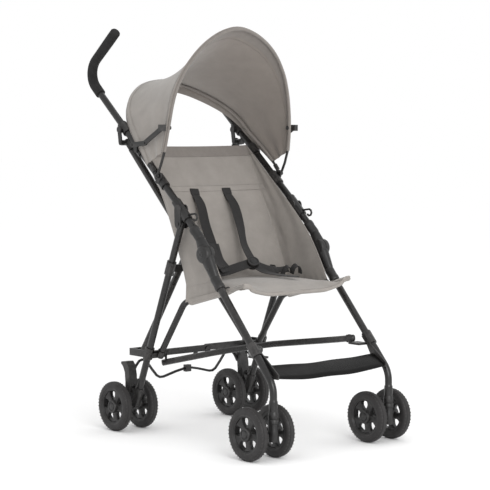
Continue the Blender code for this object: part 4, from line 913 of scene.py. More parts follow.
# %% Knuckles
def knuckle(word, side):
    """Rounded moulding that joins the push tube to the front leg, with two capped bolts."""
    x = side * SIDE_X
    bm = bmesh.new()
    turned(bm, at(x, KNEE_TOP), at(x, KNEE_LOW), KNUCKLE, 40)
    for vert in bm.verts:
        vert.co.x = x + (vert.co.x - x) * KNUCKLE_FLAT
    disc, second = [at(x, between(KNEE_TOP, KNEE_LOW, share)) for share in (0.40, 0.76)]
    out = Vector((side, 0.0, 0.0))
    turned(bm, disc - out * DISC_IN, disc + out * DISC_OUT, DISC, 44)
    turned(bm, at(x, push_point(KNEE_TOP[0] - 0.004)), at(x, push_point(KNEE_TOP[0] + 0.024)),
           TUBE_COLLAR, 36)
    turned(bm, at(x, between(KNEE_LOW, LEG_BEND, -0.02)), at(x, between(KNEE_LOW, LEG_BEND, 0.095)),
           TUBE_COLLAR, 36)
    for spot, height, radius in ((disc, DISC_OUT, 0.0078), (second, 0.0116, 0.0052)):
        turned(bm, spot + out * (height - 0.0010), spot + out * (height + 0.0012),
               [(share, radius * part) for share, part in BOLT], 28)
    fitted(bm, word + "_knuckle", word + "_frame", PLASTIC, word + "_knee")


for word, side in SIDES:
    knuckle(word, side)
print("knuckles: 2")

# %% [markdown]
# ## Caps on the floor tubes
# The two tubes that cross near the floor end in black plastic caps, each held by a
# small rivet. They could be part of the tube's mesh, but a cap turned on the same
# line and put over the tube keeps its own finish and its own crisp rim.

# %% Floor tube caps
CAP_X, CAP_Y = 0.155, -0.197
FLOOR_START = (0.143, 0.187, 0.179)
CAP_BACK, CAP_FRONT = 0.0190, 0.0034
# The cap, as (share of the way, how far it stands off the tube).
CAP = ((0.0, 0.0004), (0.05, 0.0018), (0.55, 0.0018), (0.60, 0.0008), (0.86, 0.0006),
       (0.97, -0.0012), (1.0, -0.0034))
RIVET_R, RIVET_HEIGHT = 0.0026, 0.0014
# The head of the rivet, with its radii as shares of the widest one.
RIVET = ((0.0, 1.0), (0.35, 0.97), (0.75, 0.72), (1.0, 0.30))
UP = Vector((0.0, 0.0, 1.0))


def floor_cap(word, side, tip_z, slope):
    """A black cap on the front end of one floor tube."""
    tip = at(-side * CAP_X, CAP_Y, tip_z)
    way = tip - at(side * FLOOR_START[0], *FLOOR_START[1:])
    way.z = 0.0
    way = (way.normalized() + UP * slope).normalized()
    bm = bmesh.new()
    turned(bm, tip - way * CAP_BACK, tip + way * CAP_FRONT,
           [(share, FLOOR_R + off) for share, off in CAP], 28)
    base = tip - way * 0.012 + UP * (FLOOR_R + 0.0014)
    turned(bm, base, base + UP * RIVET_HEIGHT,
           [(share, RIVET_R * part) for share, part in RIVET], 20)
    fitted(bm, word + "_floor_tube_cap", word + "_floor_tube", BLACK)


floor_cap("right", -1, 0.2540, 0.1100)
floor_cap("left", 1, 0.2500, 0.1720)
print("floor tube caps: 2")

# %% [markdown]
# ## Castor housings
# Each front leg ends over a castor that swivels. On the real pushchair a stepped
# sleeve covers the post, with a rim of the same kind on the leg above it. Both are
# simple turned shapes, and they are two pieces because the lower one swivels.

# %% Castor housings, as (share of the way, radius)
SLEEVE_LOW_Z = 0.0460
SLEEVE = ((0.0, 0.0112), (0.04, 0.0124), (0.52, 0.0124), (0.56, 0.0117), (0.80, 0.0117),
          (0.83, 0.0130), (0.97, 0.0130), (1.0, 0.0120))
LEG_RIM = ((0.0, 0.0120), (0.06, 0.0128), (0.62, 0.0128), (0.72, 0.0118), (1.0, 0.0110))
for word, side in SIDES:
    x = side * SIDE_X
    bm = bmesh.new()
    turned(bm, at(x, CASTER_Y, SLEEVE_LOW_Z), at(x, CASTER_Y, LEG_END_Z - 0.0006), SLEEVE, 36)
    fitted(bm, word + "_castor_sleeve", word + "_caster_fork", PLASTIC)
    bm = bmesh.new()
    turned(bm, at(x, CASTER_Y, LEG_END_Z + 0.0002), at(x, CASTER_Y, LEG_END_Z + 0.0180),
           LEG_RIM, 36)
    fitted(bm, word + "_leg_rim", word + "_frame", PLASTIC)
print("castor housings: 2")

# %% [markdown]
# ## Wheels
# The eight wheels are alike: a rounded tyre with a shallow tread, a moulded rim
# with five windows, and a hub with a recessed cap. Rings turned about the axle make
# the round parts, and Geometry Nodes lays the tread bars and the spokes. One wheel
# is made once, about the origin, and copied to the eight places.

# %% Wheel sizes
WHEEL_SIDES = 72
TREADS = 44
# The tyre's shoulder, as (way in from its side, radius), and its grooves, as (x, radius).
TYRE_SHOULDER = ((0.0012, 0.0462), (0.0002, 0.0472), (0.0, 0.0500), (0.0002, 0.0540),
                 (0.0010, 0.0575), (0.0028, 0.0604), (0.0052, 0.0622))
TYRE_GROOVES = ((0.0058, 0.06270), (0.0050, 0.06190), (0.0042, 0.06330), (0.0020, 0.06350))
TREAD_BAR = (0.0200, 0.0022, 0.0012)
TREAD_R = 0.06130
RIM_HALF, RIM_STEP = 0.0092, 0.0012
RIM_EDGE = [(RIM_HALF + RIM_STEP, 0.0468), (RIM_HALF + RIM_STEP, 0.0440), (RIM_HALF, 0.0432),
            (RIM_HALF, 0.0410), (RIM_HALF - RIM_STEP, 0.0400)]
HUB = ((-0.0128, 0.0044), (-0.0128, HUB_R - 0.001), (-0.0118, HUB_R), (0.0112, HUB_R),
       (0.0124, HUB_R - 0.001), (0.0124, 0.0118), (0.0112, 0.0110), (0.0112, 0.0094),
       (0.0126, 0.0086), (0.0129, 0.0060), (0.0130, 0.0010), (0.0090, 0.0008), (0.0090, 0.0044))
# A spoke from the hub to the rim, as (radius, half its width, half its depth).
SPOKE = ((0.0120, 0.0078, 0.0066), (0.0175, 0.0084, 0.0062), (0.0240, 0.0078, 0.0056),
         (0.0310, 0.0086, 0.0056), (0.0370, 0.0120, 0.0062), (0.0425, 0.0190, 0.0068))
SPOKE_TURN = 26.0           # degrees from the top to the first spoke
INNER_TURN = -52.0          # degrees by which the inner wheels are turned further


# %% One wheel
def lathe(bm, profile, sides):
    """A closed ring from (across, radius) points turned about the x axis."""
    turns = [2.0 * math.pi * i / sides for i in range(sides)]
    skin(bm, [[bm.verts.new((across, -math.sin(turn) * radius, math.cos(turn) * radius))
               for turn in turns] for across, radius in profile], capped=False)


def tyre_mesh(name):
    """The tyre: round shoulders, two shallow grooves and a bead at the rim."""
    right = [(TYRE_HALF_W - inset, radius) for inset, radius in TYRE_SHOULDER] + list(TYRE_GROOVES)
    bm = bmesh.new()
    lathe(bm, [(-a, r) for a, r in right] + right[::-1], WHEEL_SIDES)
    return mesh_from(bm, name, RUBBER)


def tread_bar():
    """One shallow rib across the tyre's shoulder."""
    bm = bmesh.new()
    bmesh.ops.create_cube(bm, size=1.0)
    bmesh.ops.scale(bm, verts=bm.verts[:], vec=TREAD_BAR)
    bmesh.ops.translate(bm, verts=bm.verts[:], vec=(0.0, 0.0, TREAD_R))
    bmesh.ops.bevel(bm, geom=bm.edges[:], offset=0.0004, segments=2, affect="EDGES")
    return mesh_from(bm, "tread_bar", RUBBER)


def spoke():
    """One broad spoke, wider at the rim and at the hub, with a sunk middle."""
    bm = bmesh.new()
    rings = []
    for radius, half_w, half_t in SPOKE:
        drop = radius - math.sqrt(max(radius * radius - half_w * half_w, 0.0))
        corners = [(-0.8, -1.0), (-1.0, -0.82), (-1.0, 0.82), (-0.8, 1.0),
                   (0.8, 1.0), (1.0, 0.82), (1.0, -0.82), (0.8, -1.0)]
        rings.append([bm.verts.new((half_t * t, half_w * w, radius - drop * abs(w)))
                      for t, w in corners])
    skin(bm, rings)
    thing = mesh_from(bm, "spoke_one", RIM)
    thing.rotation_euler = (math.radians(SPOKE_TURN), 0.0, 0.0)
    return baked(thing)


def wheel_master():
    """Tyre, treads, rim, spokes and hub of one wheel, about the origin, its cap towards +X."""
    tyre = tyre_mesh("tyre")
    treads = repeat(placed("treads"), RING, tread_bar(), TREADS, RUBBER)
    bm = bmesh.new()
    lathe(bm, [(-a, r) for a, r in RIM_EDGE] + RIM_EDGE[::-1], WHEEL_SIDES)
    rim = mesh_from(bm, "rim", RIM)
    spokes = repeat(placed("spokes"), RING, spoke(), SPOKES, RIM)
    round_edges(spokes, 0.0005, 50.0)
    spokes = baked(spokes)
    bm = bmesh.new()
    lathe(bm, HUB, 48)
    done = joined("wheel_master", tyre, treads, rim, spokes, mesh_from(bm, "hub", RIM))
    sharpen(done, 50.0)
    return done


# %% Eight wheels
master = wheel_master()
turned_in = Matrix.Rotation(math.pi, 4, "Z") @ Matrix.Rotation(math.radians(INNER_TURN), 4, "X")
wheel_count = 0
for word, side in SIDES:
    for end_word, track, y in TRACKS:
        for place_word, out in (("outer", 1), ("inner", -1)):
            name = word + "_" + end_word + "_" + place_word + "_wheel"
            mesh = master.data.copy()
            flip = Matrix.Identity(4) if side * out > 0 else turned_in
            place = at(side * (track + out * PAIR_HALF), y, WHEEL_R)
            mesh.transform(Matrix.Translation(place) @ flip)
            thing = placed(name + "_fine", mesh)
            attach(thing, name)
            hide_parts(name)
            wheel_count += 1
bpy.data.objects.remove(master, do_unlink=True)
print("wheels:", wheel_count)

# %% [markdown]
# ## Canopy
# The canopy is one slack cloth sewn round two sprung bows, with taped edges and
# rows of stitches. A cloth simulation could hang it with truer folds, but it takes
# long to tune and settles a little differently with each change of size. So a grid
# of points is laid from bow to bow by rule, with sag in the middle and gathers
# towards its low corners. It is cut in two halves, because the front one turns with
# its bow when the canopy folds.


# %% Bow lines
def bow_points(points):
    """A bow's path over both sides from its left-hand points."""
    left = [Vector((x, y - CENTRE_Y, z)) for x, y, z in points]
    right = [Vector((-p.x, p.y, p.z)) for p in left[:-1]]
    return right + left[::-1]


def smoothed(points, rounds):
    """A path with its corners cut, which keeps both ends."""
    for _ in range(rounds):
        path = [points[0]]
        for a, b in zip(points, points[1:]):
            path.append(a.lerp(b, 0.25))
            path.append(a.lerp(b, 0.75))
        path.append(points[-1])
        points = path
    return points


def bow_line(points, feet, count):
    """The part of a bow that the cloth follows."""
    return resample(smoothed(bow_points(points)[feet:-feet], 3), count)


def off_bow(line, other, j):
    """Unit way out of the canopy at one point of a bow."""
    way = line[min(j + 1, len(line) - 1)] - line[max(j - 1, 0)]
    out = way.cross(other[j] - line[j]).normalized()
    if out.dot(line[j] - at(0.0, CANOPY_MIDDLE)) < 0.0:
        return -out
    return out


# %% Canopy cloth
CLOTH_ROWS, CLOTH_COLUMNS, FLAP_ROWS = 45, 121, 6
BOW_GAP = 0.0008            # how far the cloth stands off the bows
FLAP_BACK = 0.0062          # how far it goes round the rear bow before it hangs
FLAP_DOWN = 0.0040


def canopy_grid(rows, columns):
    """Points of the canopy cloth, from its hanging rear edge to the front bow."""
    clear = BOW_R + CLOTH_T / 2.0 + BOW_GAP
    rear = bow_line(REAR_BOW, 1, columns)
    front = bow_line(FRONT_BOW, 2, columns)
    shares = [2.0 * j / (columns - 1) - 1.0 for j in range(columns)]
    grid = []
    for i in range(rows):
        share = i / (rows - 1)
        open_part = math.sin(math.pi * share)
        hem = 0.0007 if share < 0.055 or share > 0.955 else 0.0
        row = []
        for j, across in enumerate(shares):
            slack = 1.0 - abs(across) ** 3
            sag = CANOPY_SAG * 4.0 * share * (1.0 - share) * slack
            out = off_bow(rear, front, j).lerp(off_bow(front, rear, j), share).normalized()
            gather = 0.0022 * open_part * abs(across) ** 2 * math.sin(share * 16.0 + across * 3.0)
            pull = 0.0014 * open_part * math.sin(across * 21.0 + share * 5.0) * (1.0 - share)
            pull += 0.0012 * math.sin(across * 33.0 + 1.3) * max(0.0, 1.0 - share * 5.0)
            lift = clear + gather + pull * open_part + hem
            row.append(rear[j].lerp(front[j], share) + out * lift - UP * sag)
        grid.append(row)
    flap = []
    for i in range(FLAP_ROWS):
        share = 1.0 - i / FLAP_ROWS
        round_it = math.sin(min(share * 3.0, 1.0) * math.pi / 2.0)
        row = []
        for j, across in enumerate(shares):
            behind = (rear[j] - front[j]).normalized()
            drop = FLAP * (1.0 - abs(across) ** 2.6) * share
            row.append(grid[0][j] + behind * FLAP_BACK * round_it
                       - UP * (drop + FLAP_DOWN * round_it))
        flap.append(row)
    return flap + grid


CANOPY = canopy_grid(CLOTH_ROWS, CLOTH_COLUMNS)
BOW_PIVOT = at(0.0, *FRONT_BOW[0][1:])
FRONT_SHARE = 0.52          # how much of the turn between the bows the front half covers


def turn_of(row):
    """How far a row of the canopy stands round the pivot from its front row, in degrees."""
    spot, first = row[len(row) // 2] - BOW_PIVOT, CANOPY[-1][len(row) // 2] - BOW_PIVOT
    return math.degrees(spot.angle(first))


# The front half turns with the front bow and laps over the rear half, which stays on the frame.
whole_turn = turn_of(CANOPY[FLAP_ROWS])
SPLIT = min(range(FLAP_ROWS, len(CANOPY)),
            key=lambda i: abs(turn_of(CANOPY[i]) - whole_turn * FRONT_SHARE))
# The darker inside copy of the cloth is painted shade under the canopy.
canopy = cloth("canopy_cloth_fine", CANOPY[SPLIT:], CLOTH_T, CLOTH_IN_SHADE, CLOTH)
canopy_rear = cloth("canopy_rear_cloth_fine", CANOPY[:SPLIT + 1], CLOTH_T, CLOTH_IN_SHADE, CLOTH)
soft_piece(canopy, "canopy")
soft_piece(canopy_rear, "right_frame")
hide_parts("canopy_cloth")
print("canopy cloth turns", round(whole_turn, 1), "degrees, split at row", SPLIT, "of", len(CANOPY))


# %% Bows
LINK_IN, LINK_OUT, LINK_R = 0.0034, 0.0026, 0.0056      # the collars on the bow's foot
RING_IN, RING_OUT, RING_R = 0.0074, 0.0002, 0.0050      # the rings where the stays hold it
RING_Y = 0.098


def bow(name, points, feet, node, body):
    """A thin bow of sprung steel, sewn into a cloth sleeve where the canopy is on it."""
    path = bow_points(points)
    start, end = path[0], path[-1]
    sewn_part = bow_line(points, feet, 110)
    low, high = [start, sewn_part[0]], [sewn_part[-1], end]
    if feet == 2:
        low = [start.lerp(path[1], 0.16), path[1], sewn_part[0]]
        high = [sewn_part[-1], path[-2], end.lerp(path[-2], 0.16)]
    bm = bmesh.new()
    bar(bm, low, BOW_R, 14, 0.0004)
    bar(bm, high, BOW_R, 14, 0.0004)
    if feet == 2:
        for side in (-1, 1):
            for (x, y, z), ring_y, inward, outward, radius in (
                    (points[0], points[0][1], LINK_IN, LINK_OUT, LINK_R),
                    (points[3], RING_Y, RING_IN, RING_OUT, RING_R)):
                collar(bm, at(side * (x - inward), ring_y, z),
                       at(side * (x + outward), ring_y, z), radius)
    ends = mesh_from(bm, name + "_feet", BLACK)
    bm = bmesh.new()
    bar(bm, sewn_part, BOW_R + 0.0004, 14, 0.0004)
    thing = joined(name, ends, mesh_from(bm, name + "_sleeve", HEM_CLOTH))
    sharpen(thing, 40.0)
    soft_piece(thing, body)
    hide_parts(node)


bow("canopy_front_bow_fine", FRONT_BOW, 2, "canopy_front_bow", "canopy")
bow("canopy_rear_bow_fine", REAR_BOW, 1, "canopy_rear_bow", "right_frame")
print("bows: 2")

# %% Canopy hems, as (name, first row, last row, outside or inside)
TAPES = (("front", 48, 50, 1.0), ("front_inside", 46, 50, -1.0),
         ("rear_edge", 0, 3, 1.0), ("rear_inside", 0, 4, -1.0))
ROWS_OF_STITCHES = (("rear", 8, 1.0), ("front", 47, 1.0), ("inside", 45, -1.0))
outside = -1.0 if cell_normal(CANOPY, 28, 60).z < 0.0 else 1.0
front_hems, rear_hems = [], []
for name, first, last, sign in TAPES:
    body, hems = ("canopy", front_hems) if first > SPLIT else ("right_frame", rear_hems)
    band = band_of(CANOPY, first, last, outside * sign * (CLOTH_T / 2.0 + 0.0004))
    hem = cloth("canopy_hem_" + name, band, 0.0007, HEM_CLOTH)
    hems.append(soft_piece(hem, body))
for name, row, sign in ROWS_OF_STITCHES:
    body, hems = ("canopy", front_hems) if row > SPLIT else ("right_frame", rear_hems)
    line = seam_line(CANOPY, row, outside * sign * (CLOTH_T / 2.0 + 0.0006))
    hems.append(stitches("canopy_stitches_" + name, line, body))

# %% [markdown]
# ## Seat
# The seat is a sling: a back whose side wings are tied to the push tubes, and a
# base slung between the rails. A flat sheet draped by simulation could find its
# own folds, but a grid laid through a few measured points holds the seat to the
# shape in the photograph. Folds are then added to it along its own normal: ripples
# in the wings, a few long creases and a sunk seam.


# %% Seat back
SEAM_SHARE = 0.30           # how far down the back its sunk seam runs


def seat_back_grid(rows, columns):
    """Points of the back and its wings, from the top edge down to the base."""
    coarse = []
    for edge, corner, middle in SEAT_STATIONS:
        edge_x = SEAT_KNEE_X if edge[1] < 0.54 else SEAT_EDGE_X
        half = [(edge_x - 0.0030 * share, *between(edge, corner, share))
                for share in (0.0, 0.22, 0.48, 0.74)]
        half.append((0.1670, *corner))
        half.append((0.1570, *between(corner, middle, 0.18)))
        for x, share in ((0.130, 0.45), (0.090, 0.75), (0.045, 0.94)):
            half.append((x, *between(corner, middle, share)))
        row = [Vector((-x, y - CENTRE_Y, z)) for x, y, z in half]
        row.append(at(0.0, middle))
        row += [Vector((x, y - CENTRE_Y, z)) for x, y, z in half[::-1]]
        coarse.append(row)
    return finer(coarse, rows, columns)


def back_folds(u, v):
    """Soft folds of the back: ripples in the wings, a few long creases and a sunk seam."""
    side = abs(2.0 * v - 1.0)
    wing = max(0.0, side - 0.52) / 0.48
    open_part = math.sin(math.pi * min(max(u, 0.0), 1.0)) * (1.0 - side ** 8)
    ripple = 0.0036 * wing * open_part * math.sin(v * 46.0 + u * 7.0)
    crease = 0.0026 * open_part * math.exp(-((side - 0.55 - 0.10 * u) / 0.035) ** 2)
    slack = 0.0024 * open_part * math.sin(u * 9.0 + v * 5.0) * (1.0 - wing)
    seam = -0.0013 * math.exp(-((u - SEAM_SHARE) / 0.010) ** 2) * (1.0 - wing)
    return ripple + crease * math.sin(u * 12.0) + slack * 0.6 + seam


BACK = ruffled(seat_back_grid(73, 121), back_folds)
print("seat back:", len(BACK), "rows of", len(BACK[0]), "points")


# %% Seat base
BASE_STATIONS = 7
TURNED_DOWN = (0.0, 0.0032, 0.0100, 0.0165)     # steps of the front edge round and down
BEFORE_CORNER = -0.096      # in y, where the sleeves round the rails end in flat corners


def seat_base_grid(rows, columns):
    """Points of the base, wrapped round both rails and a little slack between them."""
    coarse = []
    for i in range(BASE_STATIONS + len(TURNED_DOWN) - 1):
        along = min(i / (BASE_STATIONS - 1), 1.0)
        y = BASE_BACK_Y + (BASE_FRONT_Y - BASE_BACK_Y) * along
        turn = TURNED_DOWN[max(0, i - BASE_STATIONS + 1)]
        rail = rail_z(y) - turn * 0.55
        y -= 0.0034 * math.sin(math.pi * turn / TURNED_DOWN[-1])
        low = rail - RAIL_R - 0.0036
        sag = 0.017 * min(max(0.0, (i - 3) / 3.0), 1.0) ** 2 + turn * 0.45
        lift = 0.004 * math.sin(math.pi * along) - sag
        flat = min(max((BEFORE_CORNER - y) / 0.030, 0.0), 1.0)
        sleeve = [(0.1732, rail + 0.0020), (0.1728, rail - 0.0060), (0.1690, low + 0.0016),
                  (0.1620, low), (0.1550, low + 0.0016), (0.1500, rail - 0.0050),
                  (0.1490, rail + 0.0040)]
        half = []
        for k, (x, z) in enumerate(sleeve):
            ear = rail + 0.0015 - 0.0006 * k - 0.0020 * max(0, k - 3)
            half.append((x, z + (ear - z) * flat))
        half += [(0.1300, BASE_MID_Z - 0.006 * (1.0 - flat) + lift * 0.66),
                 (0.0900, BASE_MID_Z - 0.003 + lift * 0.85), (0.0450, BASE_MID_Z + lift)]
        coarse.append([at(-x, y, z) for x, z in half] + [at(0.0, y, BASE_MID_Z + lift)]
                      + [at(x, y, z) for x, z in half[::-1]])
    return finer(coarse, rows, columns)


def base_folds(u, v):
    """Shallow pulls across the base, towards its corners."""
    side = abs(2.0 * v - 1.0)
    flat_part = max(0.0, 1.0 - side * 1.9)
    return 0.0020 * flat_part * math.sin(v * 22.0 + u * 5.0) * math.sin(math.pi * u)


BASE = ruffled(seat_base_grid(41, 121), base_folds)
print("seat base:", len(BASE), "rows of", len(BASE[0]), "points")

# %% Sew the seat together
back_piece = cloth("seat_back_fine", BACK, SEAT_T, CLOTH, CLOTH)
base_piece = cloth("seat_base_fine", BASE, SEAT_T, CLOTH, CLOTH)
joint = SEAT_STATIONS[-1][2]
bridge_grid = []
for y, z in ((joint[0] + 0.0030, joint[1] + 0.0030), (joint[0] - 0.0080, BASE_MID_Z + 0.0010),
             (BASE_BACK_Y - 0.0060, BASE_MID_Z - 0.0010)):
    bridge_grid.append([at(x, y, z - 0.30 * x * x) for x in (-0.130, -0.065, 0.0, 0.065, 0.130)])
bridge_grid = finer(bridge_grid, 9, 41)
bridge_piece = cloth("seat_bridge_fine", bridge_grid, 0.0022, CLOTH, CLOTH)
SKIRT_ROWS, SKIRT_COLUMNS = 9, 33


def skirt_grid(side):
    """The lowest part of a wing, from the back's lower edge down to the rail."""
    edge = BACK[-4][:28] if side < 0 else BACK[-4][:-29:-1]
    grid = []
    for i in range(SKIRT_ROWS):
        share = i / (SKIRT_ROWS - 1)
        row = []
        for k in range(SKIRT_COLUMNS):
            along = k / (SKIRT_COLUMNS - 1)
            spot = curve_at(edge, along)
            y = spot.y + CENTRE_Y
            foot = at(side * 0.1712, y - 0.004 - 0.018 * (1.0 - along) ** 2, rail_z(y) - 0.0010)
            bend = 0.0012 * math.sin(k * 0.7) * math.sin(math.pi * share)
            spot = Vector((spot.x - side * 0.0012, spot.y, spot.z))
            row.append(spot.lerp(foot, share) - Vector((side * abs(bend), 0.0, 0.0)))
        grid.append(row)
    return grid


skirts = []
for word, side in SIDES:
    grid = skirt_grid(side)
    skirts.append((cloth("seat_skirt_" + word, grid, 0.0016, CLOTH, CLOTH), grid))
for piece in (back_piece, base_piece, bridge_piece, skirts[0][0], skirts[1][0]):
    soft_piece(piece, "right_frame")
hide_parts("seat_cloth")
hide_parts("seat_cloth")
print("seat pieces:", 3 + len(skirts))

# %% Seat hems and seams
# Which way along its normal the back faces the child, and the base faces up.
front_way = 1.0 if cell_normal(BACK, 30, 60).y < 0.0 else -1.0
top_way = 1.0 if cell_normal(BASE, 20, 60).z > 0.0 else -1.0
with_back, with_base = [], []
for name, grid, first, last, lift, low, high, thickness, material, others in (
        ("hem_top", BACK, 0, 6, front_way * 0.0014, 0, 121, 0.0009, HEM_CLOTH, with_back),
        ("seam_band", BACK, 21, 24, front_way * 0.0013, 22, 99, 0.0008, CLOTH, with_back),
        ("hem_front", BASE, 27, 40, top_way * 0.0014, 0, 121, 0.0009, CLOTH, with_base),
        ("hem_front_under", BASE, 36, 40, top_way * -0.0014, 26, 95, 0.0009, CLOTH, with_base)):
    band = cloth("seat_" + name, band_of(grid, first, last, lift, low, high), thickness, material)
    others.append(soft_piece(band, "right_frame"))
for name, grid, row, way, low, high, others in (
        ("top", BACK, 6, front_way, 2, 119, with_back),
        ("seam_high", BACK, 21, front_way, 22, 99, with_back),
        ("seam_low", BACK, 24, front_way, 22, 99, with_back),
        ("front", BASE, 27, top_way, 2, 119, with_base)):
    line = seam_line(grid, row, way * 0.0021, low, high)
    others.append(stitches("seat_stitches_" + name, line, "right_frame"))

# %% [markdown]
# ## Footrest and harness
# The footrest is a glossy strap between the front legs, and the harness is black
# webbing with two ladder locks and a round buckle. A curve with a flat bevel would
# give a strap of one width that twists where it likes. Each strap here is a grid
# swept along its path with a given way across, so that it lies as the real one
# does, and its measured length and width are those of the webbing to be cut.

# %% Footrest strap
FOOT_ROWS, FOOT_COLUMNS = 13, 61
# The front edge turns over in three steps, as (forward, down) from it.
FOOT_LIP = ((0.0006, 0.0030), (0.0008, 0.0062), (0.0002, 0.0088))
foot_grid = []
for i in range(FOOT_ROWS):
    share = i / (FOOT_ROWS - 1)
    y, z = between(FOOT_BACK, FOOT_FRONT, share)
    crown = 0.0016 * math.sin(math.pi * share)
    row = []
    for j in range(FOOT_COLUMNS):
        across = 2.0 * j / (FOOT_COLUMNS - 1) - 1.0
        slack = 1.0 - across * across
        wave = 0.0010 * math.sin(across * 7.0 + share * 2.0) * slack
        row.append(at(across * FOOT_HALF_W, y, z + crown + wave - FOOT_SAG * slack))
    foot_grid.append(row)
for forward, down in FOOT_LIP:
    foot_grid.append([p + Vector((0.0, -forward, -down * (1.0 - 0.5 * (p.x / FOOT_HALF_W) ** 4)))
                      for p in foot_grid[FOOT_ROWS - 1]])
foot = cloth("footrest_fine", foot_grid, 0.0020, GLOSS)
soft_piece(foot, "right_frame")
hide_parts("footrest")

# %% Harness webbing, as (name, path, half width, way across)
SIDEWAYS = Vector((1.0, 0.0, 0.0))
TILTED = Vector((0.0, 0.6, 0.8))
UPRIGHT = [Vector((0.2, 0.9, 0.3))] * 2
STRAPS = (
    ("shoulder_right", ((-0.053, 0.1745, 0.6065), (-0.060, 0.1420, 0.580), (-0.075, 0.1050, 0.532),
                        (-0.083, 0.0720, 0.490), (-0.085, 0.0480, 0.448), (-0.078, 0.0200, 0.418)),
     0.0120,
     [Vector((1.0, 0.1, 0.0)), Vector((0.9, -0.25, 0.15)), Vector((0.9, -0.4, 0.0)), SIDEWAYS]),
    ("shoulder_left", ((0.053, 0.1745, 0.6065), (0.047, 0.1370, 0.575), (0.037, 0.1020, 0.525),
                       (0.026, 0.0720, 0.478), (0.008, 0.0180, 0.440)), 0.0120,
     [SIDEWAYS, Vector((0.9, -0.3, 0.1)), Vector((0.95, 0.2, 0.0)), SIDEWAYS]),
    ("lap_left", ((0.140, 0.0350, 0.4130), (0.100, 0.0180, 0.4140), (0.050, 0.0080, 0.4200),
                  (0.006, 0.0120, 0.4370)), 0.0090,
     [TILTED, Vector((0.1, 0.75, 0.65)), Vector((-0.1, 0.4, 0.9)), TILTED]),
    ("lap_right", ((-0.140, 0.0400, 0.4130), (-0.080, 0.0260, 0.4180), (-0.040, 0.0180, 0.4280),
                   (0.000, 0.0130, 0.4370)), 0.0120, TILTED),
    ("patch_right", ((-0.0535, 0.1722, 0.6048), (-0.0530, 0.1764, 0.6128),
                     (-0.0525, 0.1800, 0.6200)), 0.0135, SIDEWAYS),
    ("patch_left", ((0.0535, 0.1722, 0.6048), (0.0535, 0.1764, 0.6128),
                    (0.0535, 0.1800, 0.6200)), 0.0135, SIDEWAYS),
    ("loop_low", ((0.086, -0.0060, 0.4040), (0.092, -0.0085, 0.4170), (0.102, -0.0110, 0.4240),
                  (0.112, -0.0105, 0.4160), (0.116, -0.0100, 0.4050)), 0.0090, UPRIGHT),
    ("loop_high", ((0.118, -0.0060, 0.4050), (0.122, -0.0080, 0.4200), (0.133, -0.0100, 0.4260),
                   (0.142, -0.0100, 0.4160), (0.144, -0.0090, 0.4040)), 0.0095, UPRIGHT),
    ("crotch", ((0.004, 0.0150, 0.4350), (0.024, -0.0100, 0.4150), (0.044, -0.0450, 0.4080),
                (0.061, -0.0900, 0.4055)), 0.0120, SIDEWAYS),
)
PAD = ((-0.0838, 0.0660, 0.4860), (-0.0855, 0.0540, 0.4660), (-0.0855, 0.0420, 0.4460),
       (-0.0815, 0.0250, 0.4290))
for name, spots, half, across in STRAPS:
    thing, grid = ribbon("harness_" + name, [at(*p) for p in spots], half, across, WEBBING)
    soft_piece(thing, "right_frame")
    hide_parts("harness")
pad, _ = ribbon("harness_pad", [at(*p) for p in PAD], 0.0190, Vector((1.0, 0.1, 0.0)), WEBBING,
                thickness=0.0052, steps=40, crown=0.0022)
soft_piece(pad, "right_frame")
print("harness straps:", len(STRAPS), "and one pad")


# %% Harness fittings
BUCKLE = ((0.0, 0.0150), (0.08, 0.0163), (0.45, 0.0165), (0.52, 0.0158), (0.60, 0.0165),
          (0.88, 0.0163), (0.98, 0.0152), (1.0, 0.0128), (0.93, 0.0118), (0.93, 0.0086),
          (1.0, 0.0076), (1.02, 0.0030))
LOCK_RAIL_R, LOCK_BAR_R = 0.0022, 0.0019


def ladder_lock(bm, centre, way, across, half_l, half_w):
    """A sliding adjuster: two side rails and three bars."""
    way, across = way.normalized(), across.normalized()
    up = across.cross(way).normalized()
    for s in (-1, 1):
        side = centre + across * half_w * s
        bar(bm, [side - way * half_l, side + way * half_l], LOCK_RAIL_R, 12)
    for s in (-1, 0, 1):
        middle = centre + way * half_l * s + up * (LOCK_RAIL_R if s == 0 else 0.0)
        bar(bm, [middle - across * half_w, middle + across * half_w], LOCK_BAR_R, 12)


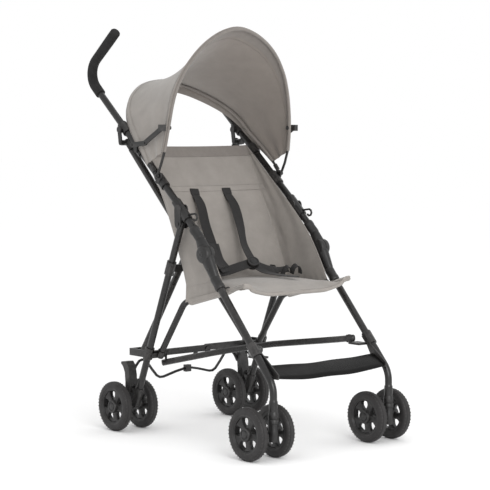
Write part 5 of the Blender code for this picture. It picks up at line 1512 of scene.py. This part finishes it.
bm = bmesh.new()
turned(bm, at(0.006, 0.0205, 0.4295), at(0.002, 0.0085, 0.4425), BUCKLE, 32)
buckle = mesh_from(bm, "harness_buckle", BLACK)
bm = bmesh.new()
down_strap = at(-0.085, 0.048, 0.448) - at(-0.083, 0.072, 0.490)
along_lap = at(0.100, 0.018, 0.414) - at(0.050, 0.008, 0.420)
ladder_lock(bm, at(-0.0845, 0.0560, 0.4640), down_strap, SIDEWAYS, 0.011, 0.0145)
ladder_lock(bm, at(0.0750, 0.0125, 0.4170), along_lap, TILTED, 0.009, 0.0115)
for thing in (buckle, mesh_from(bm, "harness_adjusters", BLACK)):
    sharpen(thing, 40.0)
    soft_piece(thing, "right_frame")
print("harness fittings: 2")

# %% [markdown]
# ## Light and floor
# The photograph is a product picture on white. Many small lamps would draw hard
# spots on the tubes, so a white world and three large soft lamps light the object
# evenly, and a wide pale floor takes its shadow. The key lamp stands on the
# camera's side and is brighter, which keeps some form in the cloth.


# %% Floor, world and lamps
def area_lamp(name, place, target, size, power):
    """A square lamp that looks at a point."""
    data = bpy.data.lights.new(name, "AREA")
    data.size = size
    data.energy = power
    lamp = bpy.data.objects.new(name, data)
    lamp.location = place
    lamp.rotation_euler = (Vector(target) - Vector(place)).to_track_quat("-Z", "Y").to_euler()
    bpy.context.scene.collection.objects.link(lamp)


bm = bmesh.new()
bmesh.ops.create_grid(bm, x_segments=4, y_segments=4, size=30.0)
floor_material, _, floor_shader = start_material("floor", "#ffffff", 0.9)
floor_shader.inputs["Specular IOR Level"].default_value = 0.0
floor = mesh_from(bm, "floor", floor_material, outward=False)
floor.location.z = -0.0002  # just under the wheels, so that they don't share its plane
world = bpy.data.worlds.new("studio")
bpy.context.scene.world = world
world.use_nodes = True
sky = world.node_tree.nodes["Background"]
sky.inputs["Color"].default_value = srgb("#ffffff")
sky.inputs["Strength"].default_value = 1.0
area_lamp("key", (-0.9, -2.8, 1.5), (0.0, 0.0, 0.6), 1.6, 42.0)
area_lamp("fill", (2.2, -1.6, 1.6), (0.0, 0.0, 0.4), 1.6, 3.0)
area_lamp("top", (0.3, 0.8, 3.0), (0.0, 0.0, 0.5), 2.2, 3.0)
bpy.context.scene.view_settings.view_transform = "Standard"
print("lamps: 3")
